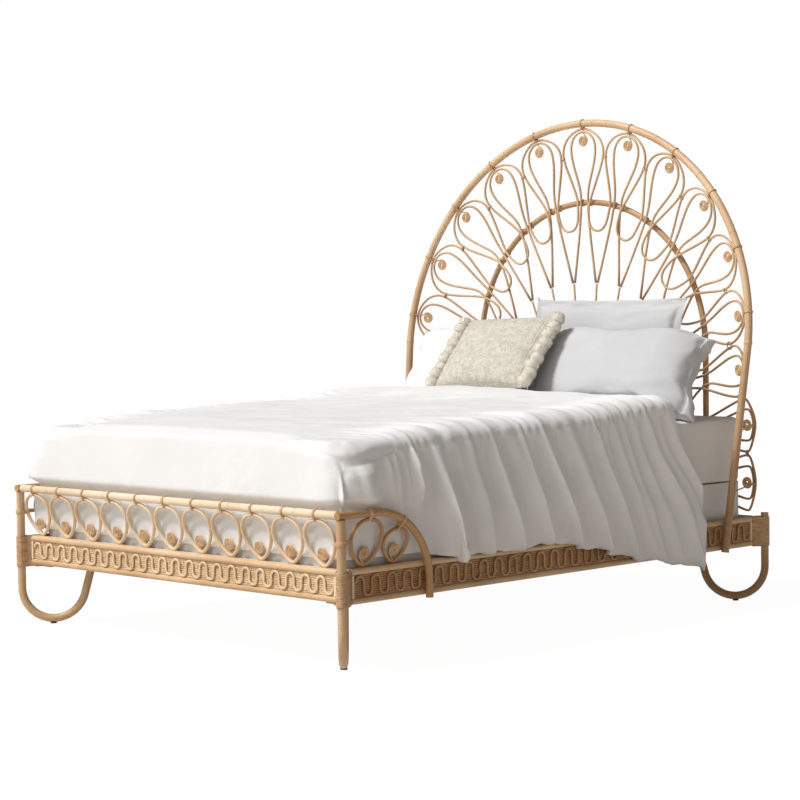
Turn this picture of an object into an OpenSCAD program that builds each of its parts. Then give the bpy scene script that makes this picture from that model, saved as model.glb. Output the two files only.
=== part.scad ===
// A queen size rattan bed with a double-arch petal headboard, a looped footboard and its bedding.
// Millimetres. X is across the bed, the foot is at -Y, the head at +Y, and Z = 0 is the floor.

/* [Mattress] */
// Width of the mattress
mattress_w = 1524; // [1370:1:1600]
// Length of the mattress
mattress_l = 2032; // [1900:1:2100]
// Height of the mattress
mattress_h = 235; // [180:1:300]
// Height of the foundation under the mattress
foundation_h = 165; // [120:1:200]
// Corner radius of the mattress and the foundation in plan
mattress_corner_r = 60; // [52:1:90]
// Room between the mattress and the apron boards
mattress_gap = 10; // [9:0.5:20]

/* [Apron] */
// Height of the top of the apron above the floor
apron_top = 310; // [300:1:340]
// Height of the foot and head aprons
foot_apron_h = 100; // [96:1:104]
// Height of the side aprons
side_apron_h = 108; // [104:1:112]
// Thickness of the apron boards
board_t = 18; // [16:0.5:22]
// Radius of the half-round trims on the apron edges
trim_r = 10; // [9:0.5:11]
// Thickness of the woven panel
weave_t = 3; // [2:0.5:4]
// Thickness of the wave reed and the end strips
wave_t = 6; // [4:0.5:6.5]
// Width of the wave reed
wave_w = 8; // [6:0.5:10]
// Waves along the foot apron
foot_waves = 22; // [18:1:24]
// Waves along each side apron
side_waves = 29; // [24:1:30]
// Width of the upright strips at the apron ends
strip_w = 8; // [6:1:12]
// Distance from the side apron's face plane to the end of the foot facing
foot_facing_inset = 28; // [26:1:40]
// Distance from the foot apron's face plane to the end of the side facing
side_facing_inset = 44; // [42:1:60]

/* [Slat base] */
// Height of the slats' underside above the floor
slat_seat_z = 256; // [252:1:260]
// Thickness of a slat
slat_t = 18; // [15:1:22]
// Width of a slat
slat_w = 70; // [55:1:80]
// Number of slats
slat_count = 13; // [9:1:15]
// Side of the square ledgers under the slat ends
ledger_s = 30; // [26:1:34]
// Thickness of the corner plates
plate_t = 18; // [15:1:20]
// Length of a corner plate along each board
plate_leg = 380; // [340:5:420]
// Side of the solid corner column
column_s = 36; // [32:1:40]
// Side of the low inner part of a corner block
block_s = 72; // [66:1:80]
// Width of the centre beam
beam_w = 40; // [30:1:60]
// Height of the centre beam
beam_h = 40; // [30:1:46]
// Thickness of the beam's sheet and of its hangers
steel_t = 3; // [2:0.5:4]

/* [Legs] */
// Diameter of the leg poles
leg_d = 28; // [26:0.5:30]
// Distance of the leg's axis outside the apron's face planes
leg_out = 13; // [12:0.5:16]
// Bend radius of the leg where it leaves the floor below the corner
leg_bend_r = 108; // [100:1:120]
// Bend radius of the leg where it turns up inside the frame
leg_rise_r = 115; // [105:1:125]
// Lean of the rising end of the leg from vertical
leg_rise_lean = 15; // [10:1:20]
// Diameter of the leg glides
glide_d = 22; // [18:1:24]
// Height of the leg glides
glide_h = 6; // [6:0.5:8]
// Diameter of the upright stile between the leg and the side apron
stile_d = 16; // [14:0.5:17]
// Thickness of the cane bindings and ties
cane_t = 2.4; // [1.6:0.2:3]

/* [Footboard] */
// Height of the foot rail's axis above the floor
rail_z = 475; // [460:1:490]
// Diameter of the foot rail
rail_d = 26; // [24:0.5:28]
// Diameter of the side arms
arm_d = 24; // [22:0.5:25]
// Bend radius of the side arms
arm_r = 225; // [210:1:240]
// Distance from the corner leg back to the arm's upright end
arm_reach = 373; // [360:1:390]
// Number of loops in the footboard
loop_count = 11; // [7:1:11]
// Room along the foot rail that the row of loops leaves between the leg axes
loop_end_room = 47.5; // [47:0.5:50]
// Distance between the axes of neighbouring loops where they are widest
loop_apart = 9.5; // [9.5:0.5:30]
// Centre of the row of loops, measured from the middle of the bed
loop_row_x = -13; // [-13:1:13]
// Diameter of the reeds in the loops and petals
reed_d = 8; // [6:0.5:8]
// Distance the loops slant inwards from the rail to the apron
loop_slant = 35; // [30:1:38]
// Diameter of the cane spirals
spiral_d = 42; // [34:1:44]
// Height of the spirals in the footboard above the floor
spiral_z = 352; // [350:1:358]

/* [Headboard] */
// Distance of the outer arch's spring outside the apron's face planes
arch_out = 52; // [46:1:58]
// Diameter of the outer arch pole
arch_d = 28; // [26:0.5:29]
// Distance along the leaning plane from its base line to the outer arch's spring
arch_spring = 650; // [640:1:680]
// Backward lean of the outer arch
arch_lean = 7; // [6.8:0.1:7.2]
// Distance from the foot of the leaning arch's plane back to the inner arch
arch_set = 207.5; // [204.5:0.5:214.5]
// Distance between the outer and the inner arch, in radius
arch_apart = 285; // [278:1:292]
// Diameter of the inner arch pole
inner_d = 22; // [20:0.5:23]
// Height of the inner arch's spring above the floor
inner_spring_z = 919; // [905:1:930]
// Angle between neighbouring petals
petal_step = 16.5; // [16.3:0.1:16.7]
// Radius of the small arch where the spokes meet
hub_r = 120; // [100:1:140]
// Diameter of the small arch
hub_d = 14; // [12:0.5:16]
// Height of the small arch's spring above the floor
hub_z = 421; // [400:1:440]

/* [Bedding] */
// Height of the duvet's rolled head edge above the mattress
duvet_rise = 96; // [86:1:116]
// How far the duvet's sides hang out past the apron's face planes
duvet_hang = 38; // [30:1:50]
// Width of a bed pillow
pillow_w = 750; // [650:5:760]
// Height of a bed pillow
pillow_h = 395; // [360:5:410]
// Thickness of a bed pillow
pillow_t = 170; // [120:5:180]
// Width of the rear sham
sham_w = 762; // [650:5:800]
// Height of the rear sham
sham_h = 462; // [420:5:480]
// Thickness of the rear sham
sham_t = 96; // [70:2:100]
// Width of the knitted cushion
cushion_w = 440; // [400:5:460]
// Height of the knitted cushion
cushion_h = 345; // [320:5:350]
// Thickness of the knitted cushion
cushion_t = 120; // [80:5:120]
// Diameter of a pompom's core
pompom_d = 36; // [28:1:36]

/* [Hidden] */

// Clearances: wood on wood, cane round a pole, a screw in its hole, soft piece on its neighbour
seat_gap = 0.2;
cane_gap = 0.3;
bolt_gap = 0.6;
soft_gap = 0.4;

// Apron planes
facing_t = trim_r;
inner_x = mattress_w / 2 + mattress_gap;
inner_y = mattress_l / 2 + mattress_gap;
board_x = inner_x + board_t;
board_y = inner_y + board_t;
face_x = board_x + facing_t;
face_y = board_y + facing_t;
foot_apron_z = apron_top - foot_apron_h;
side_apron_z = apron_top - side_apron_h;
foot_facing_x = face_x - foot_facing_inset;
side_facing_y = face_y - side_facing_inset;
column_x = board_x - column_s;
column_y = board_y - column_s;
upper_trim_z = apron_top - trim_r;

// Legs
leg_x = face_x + leg_out;
leg_y = face_y + leg_out;
leg_low_z = glide_h - 2 + leg_d / 2;
rise_t = leg_bend_r + leg_rise_r * cos(leg_rise_lean);
rise_z = leg_low_z + leg_rise_r * (1 - sin(leg_rise_lean));
plate_z = slat_seat_z - plate_t;
stile_inset = 7;
stile_back = 30;
stile_x = face_x - stile_inset;
stile_y = face_y - stile_back;
nose_w = 14;
column_chamfer = 24;
block_chamfer = 30;
corner_bolt_z = side_apron_z + 18;
bolt_d = 8;
bolt_head_d = 13;
bolt_head_t = 5;
insert_d = 11;
insert_l = 18;

// Footboard
arm_x = leg_x;
arm_end_y = -leg_y + arm_reach;
arm_bend_y = arm_end_y - arm_r;
arm_bend_z = rail_z - arm_r;
arm_front = 16;
dowel_d = 8;
loop_pitch = (2 * leg_x - loop_end_room) / loop_count;
loop_half_w = (loop_pitch - loop_apart) / 2;
loop_foot_z = apron_top + reed_d / 2 + cane_gap;
loop_top_z = rail_z - rail_d / 2 - reed_d / 2 - cane_gap;
loop_depth = loop_slant / (loop_top_z - loop_foot_z);
tie_w = 10;
cane_wall = 1.6;

// Headboard
arch_r = face_x + arch_out;
inner_r = arch_r - arch_apart;
inner_y_axis = board_y + 0.5;
arch_base_y = inner_y_axis - arch_set;
reed_y = inner_y_axis - inner_d / 2 - reed_d / 2 - cane_gap;
lean_base_z = 300;
arch_low_bolt_z = side_apron_z + trim_r;
arch_foot_x = face_x + arch_d / 2 + seat_gap;
arch_bead_d = arch_d * 1.12;
petal_last = 8;
petal_span = arch_apart;
inner_pitch = 187;
side_pitch = 193;
side_growth = 5;

// Bedding
foundation_z = slat_seat_z + slat_t;
mattress_z = foundation_z + foundation_h;
mattress_top = mattress_z + mattress_h;
duvet_head_z = mattress_top + duvet_rise;
duvet_reach = face_x + duvet_hang;

rattan = "burlywood";
rattan_dark = "peru";
steel = "silver";
linen = "whitesmoke";
pole_fn = 48;
bend_fn = 128;

// Helpers

function unit(v) = v / norm(v);
function clamp(v, low, high) = min(max(v, low), high);
function mix(a, b, k) = a + (b - a) * k;
function smooth(k) = k * k * (3 - 2 * k);

module mirrored_x() {
    children();
    mirror([1, 0, 0]) children();
}

module mirrored_y() {
    children();
    mirror([0, 1, 0]) children();
}

// Draws its children at the front right corner and at the three others
module at_corners() mirrored_x() mirrored_y() children();

// Frame of a corner: X runs from the leg's axis diagonally into the bed, Z up
module corner_frame() translate([leg_x, leg_y, 0]) rotate([0, 0, -135]) children();

function path_tangent(path, j, closed) =
    let (n = len(path))
    closed ? unit(path[(j + 1) % n] - path[(j + n - 1) % n])
    : j == 0 ? unit(path[1] - path[0])
    : j == n - 1 ? unit(path[n - 1] - path[n - 2])
    : unit(unit(path[j + 1] - path[j]) + unit(path[j] - path[j - 1]));

// A six-sided tube along a path that lies near the plane square to `up`
module reed(path, d, up = [0, 1, 0], closed = false, sides = 6) {
    n = len(path);
    points = [
        for (j = [0:n - 1])
            let (t = path_tangent(path, j, closed), s = unit(cross(t, up)), b = cross(s, t))
            for (k = [0:sides - 1]) path[j] + d / 2 * (cos(360 * k / sides) * s + sin(360 * k / sides) * b)
    ];
    spans = closed ? n - 1 : n - 2;
    skin = [
        for (j = [0:spans], k = [0:sides - 1])
            let (a = j * sides + k, b = j * sides + (k + 1) % sides,
                 c = ((j + 1) % n) * sides + (k + 1) % sides, e = ((j + 1) % n) * sides + k)
            each [[a, b, c], [a, c, e]]
    ];
    caps = closed ? [] : [
        for (k = [1:sides - 2]) each [[0, k + 1, k], [(n - 1) * sides, (n - 1) * sides + k,
            (n - 1) * sides + k + 1]]
    ];
    polyhedron(points = points, faces = concat(skin, caps), convexity = 8);
}

// Outline that wraps two circles of radius ra and rb whose centres are `gap` apart along +X
module wrap_2d(ra, rb, gap) {
    a = acos((ra - rb) / gap);
    circle(r = ra, $fn = pole_fn);
    translate([gap, 0]) circle(r = rb, $fn = pole_fn);
    polygon([
        [ra * cos(a), ra * sin(a)], [gap + rb * cos(a), rb * sin(a)],
        [gap + rb * cos(a), -rb * sin(a)], [ra * cos(a), -ra * sin(a)]
    ]);
}

// A cane band of the given width round a pole of diameter d and a reed whose axis is `gap` away along +X
module band(d, gap, width, reed_room = reed_d) {
    linear_extrude(height = width, center = true) difference() {
        wrap_2d(d / 2 + cane_gap / 2 + cane_wall, reed_room / 2 + cane_gap + cane_wall, gap);
        circle(d = d + cane_gap, $fn = pole_fn);
        translate([gap, 0]) circle(d = reed_room + 2 * cane_gap, $fn = pole_fn);
    }
}

module ring(d, wall, width) {
    difference() {
        cylinder(h = width, d = d + cane_gap + 2 * wall, center = true, $fn = pole_fn);
        cylinder(h = width + 2, d = d + cane_gap, center = true, $fn = pole_fn);
    }
}

// Cane wound flat into a disc: scalloped face, small centre hole
module spiral_disc(d, t) {
    turns = 3;
    pitch = (d / 2 - 3) / turns;
    rotate_extrude($fn = 64) {
        for (k = [0:turns - 1]) translate([3 + pitch * (k + 0.5), 0]) circle(d = t, $fn = 24);
        translate([3, -t / 4]) square([pitch * (turns - 0.5), t / 2]);
    }
}

// Aprons

module foot_board(side) {
    difference() {
        translate([-column_x, side > 0 ? inner_y : -board_y, foot_apron_z])
            cube([2 * column_x, board_t, foot_apron_h]);
        if (side > 0) for (m = [-1, 1]) arch_dowel(m, arch_dowel_d + 2 * seat_gap, 1);
        hanger_screws(side, 0.2);
    }
}

module side_board() {
    difference() {
        translate([inner_x, -column_y, side_apron_z]) cube([board_t, 2 * column_y, side_apron_h]);
        pole_bolt_holes();
    }
}

module pole_bolt_holes() {
    for (p = pole_bolt_places) translate([inner_x - 1, p[0], p[1]]) rotate([0, 90, 0])
        cylinder(h = board_t + facing_t + 2, d = bolt_d + bolt_gap, $fn = 32);
}

module foot_apron() color(rattan) foot_board(-1);
module head_apron() color(rattan) foot_board(1);
module side_apron_right() color(rattan) side_board();
module side_apron_left() color(rattan) mirror([1, 0, 0]) side_board();

module foot_panel(side) {
    translate([-foot_facing_x, side > 0 ? board_y : -board_y - weave_t, foot_apron_z + 2 * trim_r])
        cube([2 * foot_facing_x, weave_t, foot_apron_h - 4 * trim_r]);
}

module side_panel() {
    translate([board_x, -side_facing_y, side_apron_z + 2 * trim_r])
        cube([weave_t, 2 * side_facing_y, side_apron_h - 4 * trim_r]);
}

module foot_weave() color(rattan) foot_panel(-1);
module head_weave() color(rattan) foot_panel(1);
module side_weave_right() color(rattan) side_panel();
module side_weave_left() color(rattan) mirror([1, 0, 0]) side_panel();

// Centre line of a run of waves: x along the run, y up, turns of the given radius
function wave_line(count, pitch, height, r) = [
    for (i = [0:count - 1], half = [0, 1], k = [0:8])
        let (cx = (i + 0.25 + half * 0.5) * pitch, a = 180 - k * 22.5, up = half == 0 ? 1 : -1)
        [cx + r * cos(a), up * (height / 2 - r) + up * r * sin(a)]
];

// Flat reed of width w along a wave line
module wave_reed(length, count, height, w) {
    pitch = length / count;
    line = wave_line(count, pitch, height - w, pitch / 4);
    n = len(line);
    normals = [for (j = [0:n - 1]) let (t = path_tangent(line, j, false)) [-t[1], t[0]]];
    polygon(concat(
        [for (j = [0:n - 1]) line[j] + w / 2 * normals[j]],
        [for (j = [n - 1:-1:0]) line[j] - w / 2 * normals[j]]
    ));
}

module foot_wave_reed() color(rattan) {
    length = 2 * (foot_facing_x - strip_w - wave_w);
    translate([-length / 2, -board_y - weave_t, foot_apron_z + foot_apron_h / 2]) rotate([90, 0, 0])
        linear_extrude(height = wave_t) wave_reed(length, foot_waves, foot_apron_h - 4 * trim_r - 1,
            wave_w);
}

module side_wave() {
    length = 2 * (side_facing_y - strip_w - wave_w);
    translate([board_x + weave_t, -length / 2, side_apron_z + side_apron_h / 2]) rotate([90, 0, 90])
        linear_extrude(height = wave_t) wave_reed(length, side_waves, side_apron_h - 4 * trim_r - 1,
            wave_w);
}

module side_wave_reed_right() color(rattan) side_wave();
module side_wave_reed_left() color(rattan) mirror([1, 0, 0]) side_wave();

// Half-round trim along X, centred, its flat back on the plane y = 0 and its round side towards +Y
module trim_bar(length) {
    rotate([0, 90, 0]) linear_extrude(height = length, center = true) intersection() {
        circle(r = trim_r, $fn = pole_fn);
        translate([-trim_r, 0]) square([2 * trim_r, trim_r]);
    }
}

module trims(foot_z, side_z) {
    mirrored_y() translate([0, board_y, foot_z]) trim_bar(2 * foot_facing_x);
    mirrored_x() difference() {
        translate([board_x, 0, side_z]) rotate([0, 0, -90]) trim_bar(2 * side_facing_y);
        pole_bolt_holes();
    }
}

module apron_upper_trims() color(rattan) trims(upper_trim_z, upper_trim_z);
module apron_lower_trims() color(rattan) trims(foot_apron_z + trim_r, side_apron_z + trim_r);

module apron_end_strips() color(rattan) at_corners() {
    translate([foot_facing_x - strip_w, board_y + weave_t, foot_apron_z + 2 * trim_r])
        cube([strip_w, wave_t, foot_apron_h - 4 * trim_r]);
    translate([board_x + weave_t, side_facing_y - strip_w, side_apron_z + 2 * trim_r])
        cube([wave_t, strip_w, side_apron_h - 4 * trim_r]);
}

// Legs

module corner_stiles() color(rattan) at_corners()
    translate([stile_x, stile_y, side_apron_z]) cylinder(h = side_apron_h, d = stile_d, $fn = pole_fn);

// Leg in the corner frame: post, bend on the floor, second bend and the riser up to the corner plate
module leg(top_z) {
    difference() {
        union() {
            translate([0, 0, leg_low_z + leg_bend_r])
                cylinder(h = top_z - leg_low_z - leg_bend_r, d = leg_d, $fn = pole_fn);
            translate([leg_bend_r, 0, leg_low_z + leg_bend_r]) rotate([90, 0, 0]) rotate([0, 0, 180])
                rotate_extrude(angle = 90, $fn = bend_fn) translate([leg_bend_r, 0])
                    circle(d = leg_d, $fn = pole_fn);
            translate([leg_bend_r, 0, leg_low_z + leg_rise_r]) rotate([90, 0, 0]) rotate([0, 0, -90])
                rotate_extrude(angle = 90 - leg_rise_lean, $fn = bend_fn)
                    translate([leg_rise_r, 0]) circle(d = leg_d, $fn = pole_fn);
            translate([rise_t, 0, rise_z]) rotate([0, leg_rise_lean, 0])
                cylinder(h = plate_z, d = leg_d, $fn = pole_fn);
        }
        translate([rise_t - 200, -100, plate_z]) cube([600, 200, top_z + 200]);
        translate([-leg_d, -leg_d, top_z]) cube([2 * leg_d, 2 * leg_d, 100]);
        translate([leg_bend_r, 0, -1]) cylinder(h = glide_h + 1, d = glide_d + 2 * seat_gap, $fn = pole_fn);
        corner_bore(insert_d + seat_gap, insert_l + 1, leg_d / 2 + 1);
        leg_screw(4.2, plate_z - 50);
    }
}

module leg_glides() color("dimgray") at_corners() corner_frame()
    translate([leg_bend_r, 0, 0]) cylinder(h = glide_h, d = glide_d, $fn = pole_fn);

// Bore along the corner diagonal, from `from` towards the leg's axis for the given depth
module corner_bore(d, depth, from) {
    translate([from, 0, corner_bolt_z]) rotate([0, -90, 0]) cylinder(h = depth, d = d, $fn = 32);
}

screw_t = rise_t + (plate_z - 18 - rise_z) * tan(leg_rise_lean);

module leg_screw(d, from_z) {
    translate([screw_t, 0, from_z]) cylinder(h = slat_seat_z - from_z + 1, d = d, $fn = 24);
}

post_top_front = rail_z - arm_d / 2;
post_top_rear = apron_top + 12;

module front_leg() {
    difference() {
        corner_frame() leg(post_top_front);
        translate([leg_x, leg_y, post_top_front - 21]) cylinder(h = 30, d = dowel_d + seat_gap, $fn = 24);
    }
}

module corner_leg_front_right() color(rattan) mirror([0, 1, 0]) front_leg();
module corner_leg_front_left() color(rattan) mirror([1, 0, 0]) mirror([0, 1, 0]) front_leg();
module corner_leg_rear_right() color(rattan) corner_frame() leg(post_top_rear);
module corner_leg_rear_left() color(rattan) mirror([1, 0, 0]) corner_frame() leg(post_top_rear);

block_face_t = norm([leg_x - (inner_x - block_s), leg_y - (inner_y - block_s)]) - block_chamfer / sqrt(2);

module corner_blocks() color(rattan_dark) at_corners() difference() {
    union() {
        translate([inner_x - block_s, inner_y - block_s, side_apron_z])
            cube([block_s, block_s, plate_z - side_apron_z]);
        translate([column_x, column_y, side_apron_z]) cube([column_s, column_s, side_apron_h]);
        corner_frame() translate([0, -nose_w / 2, side_apron_z]) cube([60, nose_w, side_apron_h]);
    }
    // The column's outer corner is cut square to the diagonal on both sides of the nose
    difference() {
        corner_frame() translate([-20, -40, side_apron_z - 1])
            cube([20 + norm([leg_x - board_x, leg_y - board_y]) + column_chamfer / sqrt(2), 80,
                side_apron_h + 2]);
        corner_frame() translate([-30, -nose_w / 2, side_apron_z - 2])
            cube([100, nose_w, side_apron_h + 4]);
    }
    corner_frame() translate([block_face_t, -100, side_apron_z - 1]) cube([100, 200, side_apron_h]);
    corner_frame() translate([0, 0, side_apron_z - 1])
        cylinder(h = side_apron_h + 2, d = leg_d + seat_gap, $fn = pole_fn);
    translate([stile_x, stile_y, side_apron_z - 1])
        cylinder(h = side_apron_h + 2, d = stile_d + seat_gap, $fn = pole_fn);
    corner_frame() corner_bore(bolt_d + bolt_gap, block_face_t + 1, block_face_t + 1);
}

// Triangular plate in each corner: it carries the riser of the leg and the slat ends
module corner_plates() color("tan") at_corners() difference() {
    translate([0, 0, plate_z]) linear_extrude(height = plate_t)
        polygon([[inner_x, inner_y], [inner_x - plate_leg, inner_y], [inner_x, inner_y - plate_leg]]);
    translate([column_x - seat_gap, column_y - seat_gap, plate_z - 1])
        cube([column_s, column_s, plate_t + 2]);
    corner_frame() leg_screw(4.4, plate_z - 1);
    corner_frame() translate([screw_t, 0, slat_seat_z - 3]) cylinder(h = 4, d = 9.4, $fn = 24);
    slat_screw_holes(4.4);
}

module corner_bolts() color(steel) at_corners() corner_frame()
    translate([block_face_t, 0, corner_bolt_z]) rotate([0, -90, 0]) {
        cylinder(h = block_face_t + 4, d = bolt_d, $fn = 32);
        translate([0, 0, -bolt_head_t]) difference() {
            cylinder(h = bolt_head_t, d = bolt_head_d, $fn = 32);
            translate([0, 0, -1]) cylinder(h = 4, d = 6, $fn = 6);
        }
    }

module leg_screws() color(steel) at_corners() corner_frame() {
    translate([screw_t, 0, plate_z - 40]) cylinder(h = slat_seat_z - plate_z + 40, d = 4, $fn = 24);
    translate([screw_t, 0, slat_seat_z - 2.8]) cylinder(h = 2.8, d = 9, $fn = 24);
}

// Cane wound round the leg and the stile, open where the corner block's nose and column pass
module corner_bindings() color(rattan_dark) at_corners() difference() {
    gap = norm([leg_x - stile_x, leg_y - stile_y]);
    translate([leg_x, leg_y, side_apron_z - 2])
        rotate([0, 0, atan2(stile_y - leg_y, stile_x - leg_x)])
            linear_extrude(height = side_apron_h) difference() {
                wrap_2d(leg_d / 2 + cane_t, stile_d / 2 + cane_t, gap);
                circle(d = leg_d + cane_gap, $fn = pole_fn);
                translate([gap, 0]) circle(d = stile_d + cane_gap, $fn = pole_fn);
            }
    corner_frame() translate([0, -nose_w / 2 - cane_gap, side_apron_z - 3])
        cube([100, nose_w + 2 * cane_gap, side_apron_h + 6]);
    corner_frame() translate([norm([leg_x - board_x, leg_y - board_y]) +
        column_chamfer / sqrt(2) - cane_gap,
                              -60, side_apron_z - 3]) cube([100, 120, side_apron_h + 6]);
}

// Footboard

module foot_rail() color(rattan) difference() {
    half = min(arm_x - arm_d / 2, leg_x - leg_d / 2) - seat_gap;
    translate([-half, -leg_y, rail_z]) rotate([0, 90, 0]) cylinder(h = 2 * half, d = rail_d, $fn = pole_fn);
    mirrored_x() translate([half - 21, -leg_y, rail_z]) rotate([0, 90, 0])
        cylinder(h = 30, d = dowel_d + seat_gap, $fn = 24);
}

module arm() {
    difference() {
        union() {
            translate([arm_x, -leg_y - arm_front, rail_z]) rotate([-90, 0, 0])
                cylinder(h = arm_bend_y + leg_y + arm_front, d = arm_d, $fn = pole_fn);
            translate([arm_x, arm_bend_y, arm_bend_z]) rotate([90, 0, 90])
                rotate_extrude(angle = 90, $fn = bend_fn) translate([arm_r, 0])
                    circle(d = arm_d, $fn = pole_fn);
            translate([arm_x, arm_end_y, side_apron_z - 7])
                cylinder(h = arm_bend_z - side_apron_z + 7, d = arm_d, $fn = pole_fn);
        }
        translate([arm_x - arm_d, -leg_y, rail_z]) rotate([0, 90, 0])
            cylinder(h = arm_d - 5 + seat_gap, d = dowel_d + seat_gap, $fn = 24);
        translate([arm_x, -leg_y, rail_z - arm_d]) cylinder(h = arm_d + 5 + seat_gap, d = dowel_d +
            seat_gap, $fn = 24);
        for (z = [arch_low_bolt_z, upper_trim_z]) insert_bore(arm_x, arm_end_y, z, arm_d);
    }
}

module arm_right() color(rattan) arm();
module arm_left() color(rattan) mirror([1, 0, 0]) arm();

module rail_dowels() color("tan") mirrored_x() {
    translate([arm_x - arm_d / 2 - 20, -leg_y, rail_z]) rotate([0, 90, 0])
        cylinder(h = 20 + arm_d / 2 - 5, d = dowel_d, $fn = 24);
    translate([leg_x, -leg_y, post_top_front - 20]) cylinder(h = 20 + arm_d / 2 + 4.5, d = dowel_d,
        $fn = 24);
}

// Loop in a leaning plane: round at the top, narrower at the bottom
loop_rings = 16;
loop_taper = 0.5;
loop_full = 0.862;
function drop_point(k, half_w) =
    let (a = 360 * k / loop_rings)
    [half_w * sin(a) * pow(abs(sin(a / 2)), loop_taper) / loop_full, (1 - cos(a)) / 2];

module foot_loop(x) {
    reed([
        for (k = [0:loop_rings - 1])
            let (p = drop_point(k, loop_half_w))
            [x + p[0], -leg_y + (1 - p[1]) * loop_slant, mix(loop_foot_z, loop_top_z, p[1])]
    ], reed_d, [0, 1, loop_depth], closed = true);
}

function loop_x(k) = loop_row_x + (k - (loop_count - 1) / 2) * loop_pitch;

module foot_loops() color(rattan) for (k = [0:loop_count - 1]) foot_loop(loop_x(k));

// The two loops under each arm: centre, half width, height of the top reed's axis
wing_set = [
    [-leg_y + 117, 66, loop_top_z + 1],
    [-leg_y + 244, 52, arm_bend_z + sqrt(arm_r * arm_r - pow(-leg_y + 244 - arm_bend_y, 2)) - 34]
];

module wing_loop(w) {
    reed([
        for (k = [0:loop_rings - 1])
            let (p = drop_point(k, w[1]), z = mix(loop_foot_z, w[2], p[1]))
            [arm_x - (loop_top_z - z) * wing_depth, w[0] + p[0], z]
    ], reed_d, [1, 0, -wing_depth], closed = true);
}

wing_depth = (arm_x - inner_x - board_t / 2) / (loop_top_z - loop_foot_z);

module wing_loops() color(rattan) mirrored_x() for (w = wing_set) wing_loop(w);

// Spiral with a short tail down to the foot of its loop; the disc lies in the loop's leaning plane
module loop_spiral(foot_z) {
    spiral_disc(spiral_d, 5);
    tail = spiral_z - foot_z - reed_d / 2 - 2 * cane_gap;
    translate([0, -spiral_d / 2 + 3, 0]) rotate([90, 0, 0])
        cylinder(h = tail - spiral_d / 2 + 3, d = 4, $fn = 24);
}

module foot_spirals() color(rattan) {
    lean = atan(loop_depth);
    for (k = [0:loop_count - 1])
        translate([loop_x(k), -leg_y + (loop_top_z - spiral_z) * loop_depth, spiral_z])
            rotate([90 + lean, 0, 0]) loop_spiral(loop_foot_z);
    wing_lean = atan(wing_depth);
    mirrored_x() for (w = wing_set)
        translate([arm_x - (loop_top_z - spiral_z) * wing_depth, w[0], spiral_z])
            rotate([0, wing_lean, 0]) rotate([90, 0, 90]) loop_spiral(loop_foot_z);
}

module foot_ties() color(rattan_dark) {
    // Round the rail and each loop's top
    for (k = [0:loop_count - 1]) translate([loop_x(k), -leg_y, rail_z]) rotate([0, 90, 0])
        band(rail_d, rail_z - loop_top_z, tie_w, reed_d + 1);
    // Round the arm and the tops of the wing loops
    mirrored_x() for (w = wing_set) {
        bent = w[0] > arm_bend_y;
        turn = bent ? atan2(w[0] - arm_bend_y, w[2] - arm_bend_z) : 0;
        drop = bent ? arm_r - norm([w[0] - arm_bend_y, w[2] - arm_bend_z]) : rail_z - w[2];
        side = (loop_top_z - w[2]) * wing_depth;
        y = bent ? arm_bend_y + arm_r * sin(turn) : w[0];
        translate([arm_x, y, bent ? arm_bend_z + arm_r * cos(turn) : rail_z]) rotate([-turn, 0, 0])
            rotate([0, atan2(side, drop), 0]) rotate([0, 90, 90])
                band(arm_d, norm([drop, side]), bent ? 6 : tie_w, reed_d + (bent ? 6 : 2));
    }
}

// Headboard

function lean_point(x, s) = [x, arch_base_y + s * sin(arch_lean), lean_base_z + s * cos(arch_lean)];
function lean_s(z) = (z - lean_base_z) / cos(arch_lean);
leg_slope = (arch_r - arch_foot_x) / (arch_spring - lean_s(arch_low_bolt_z));
function arch_x(s) =
    s > arch_spring ? sqrt(max(0, arch_r * arch_r - pow(s - arch_spring, 2)))
    : arch_r - (arch_spring - s) * leg_slope;

module lean_frame() translate([0, arch_base_y, lean_base_z]) rotate([-arch_lean, 0, 0]) children();

module headboard_arch() color(rattan) difference() {
    lean_frame() {
        translate([0, 0, arch_spring]) rotate([90, 0, 0])
            rotate_extrude(angle = 180, $fn = 2 * bend_fn) translate([arch_r, 0])
                circle(d = arch_d, $fn = pole_fn);
        low_s = lean_s(side_apron_z - 5);
        for (m = [-1, 1]) {
            translate([m * arch_r, 0, arch_spring]) sphere(d = arch_bead_d, $fn = pole_fn);
            translate([m * arch_r, 0, arch_spring]) rotate([0, 180 + m * atan(leg_slope), 0])
                translate([0, 0, arch_d * 0.2])
                    cylinder(h = (arch_spring - low_s) / cos(atan(leg_slope)) - arch_d * 0.2, d = arch_d,
                        $fn = pole_fn);
        }
    }
    mirrored_x() for (z = [arch_low_bolt_z, upper_trim_z]) {
        p = lean_point(arch_x(lean_s(z)), lean_s(z));
        insert_bore(p[0], p[1], z, arch_d);
    }
}

// Where the side poles are bolted to the boards: [y, z, pole's axis x, pole diameter]
pole_bolt_places = [
    for (z = [arch_low_bolt_z, upper_trim_z]) each [
        [arm_end_y, z, arm_x, arm_d],
        let (p = lean_point(arch_x(lean_s(z)), lean_s(z))) [p[1], z, p[0], arch_d]
    ]
];

module insert_bore(x, y, z, d) {
    translate([x - d, y, z]) rotate([0, 90, 0]) cylinder(h = d / 2 + insert_l / 2 + 4, d = insert_d +
        seat_gap, $fn = 32);
    translate([x - insert_l / 2 - 4, y, z]) rotate([0, 90, 0]) cylinder(h = insert_l, d = insert_d +
        seat_gap, $fn = 32);
}

module threaded_inserts() color("goldenrod") {
    mirrored_x() for (p = pole_bolt_places) translate([p[2] - insert_l / 2 - 3, p[0], p[1]])
        rotate([0, 90, 0])
        insert();
    at_corners() corner_frame() translate([leg_d / 2 - 2, 0, corner_bolt_z]) rotate([0, -90, 0]) insert();
}

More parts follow.
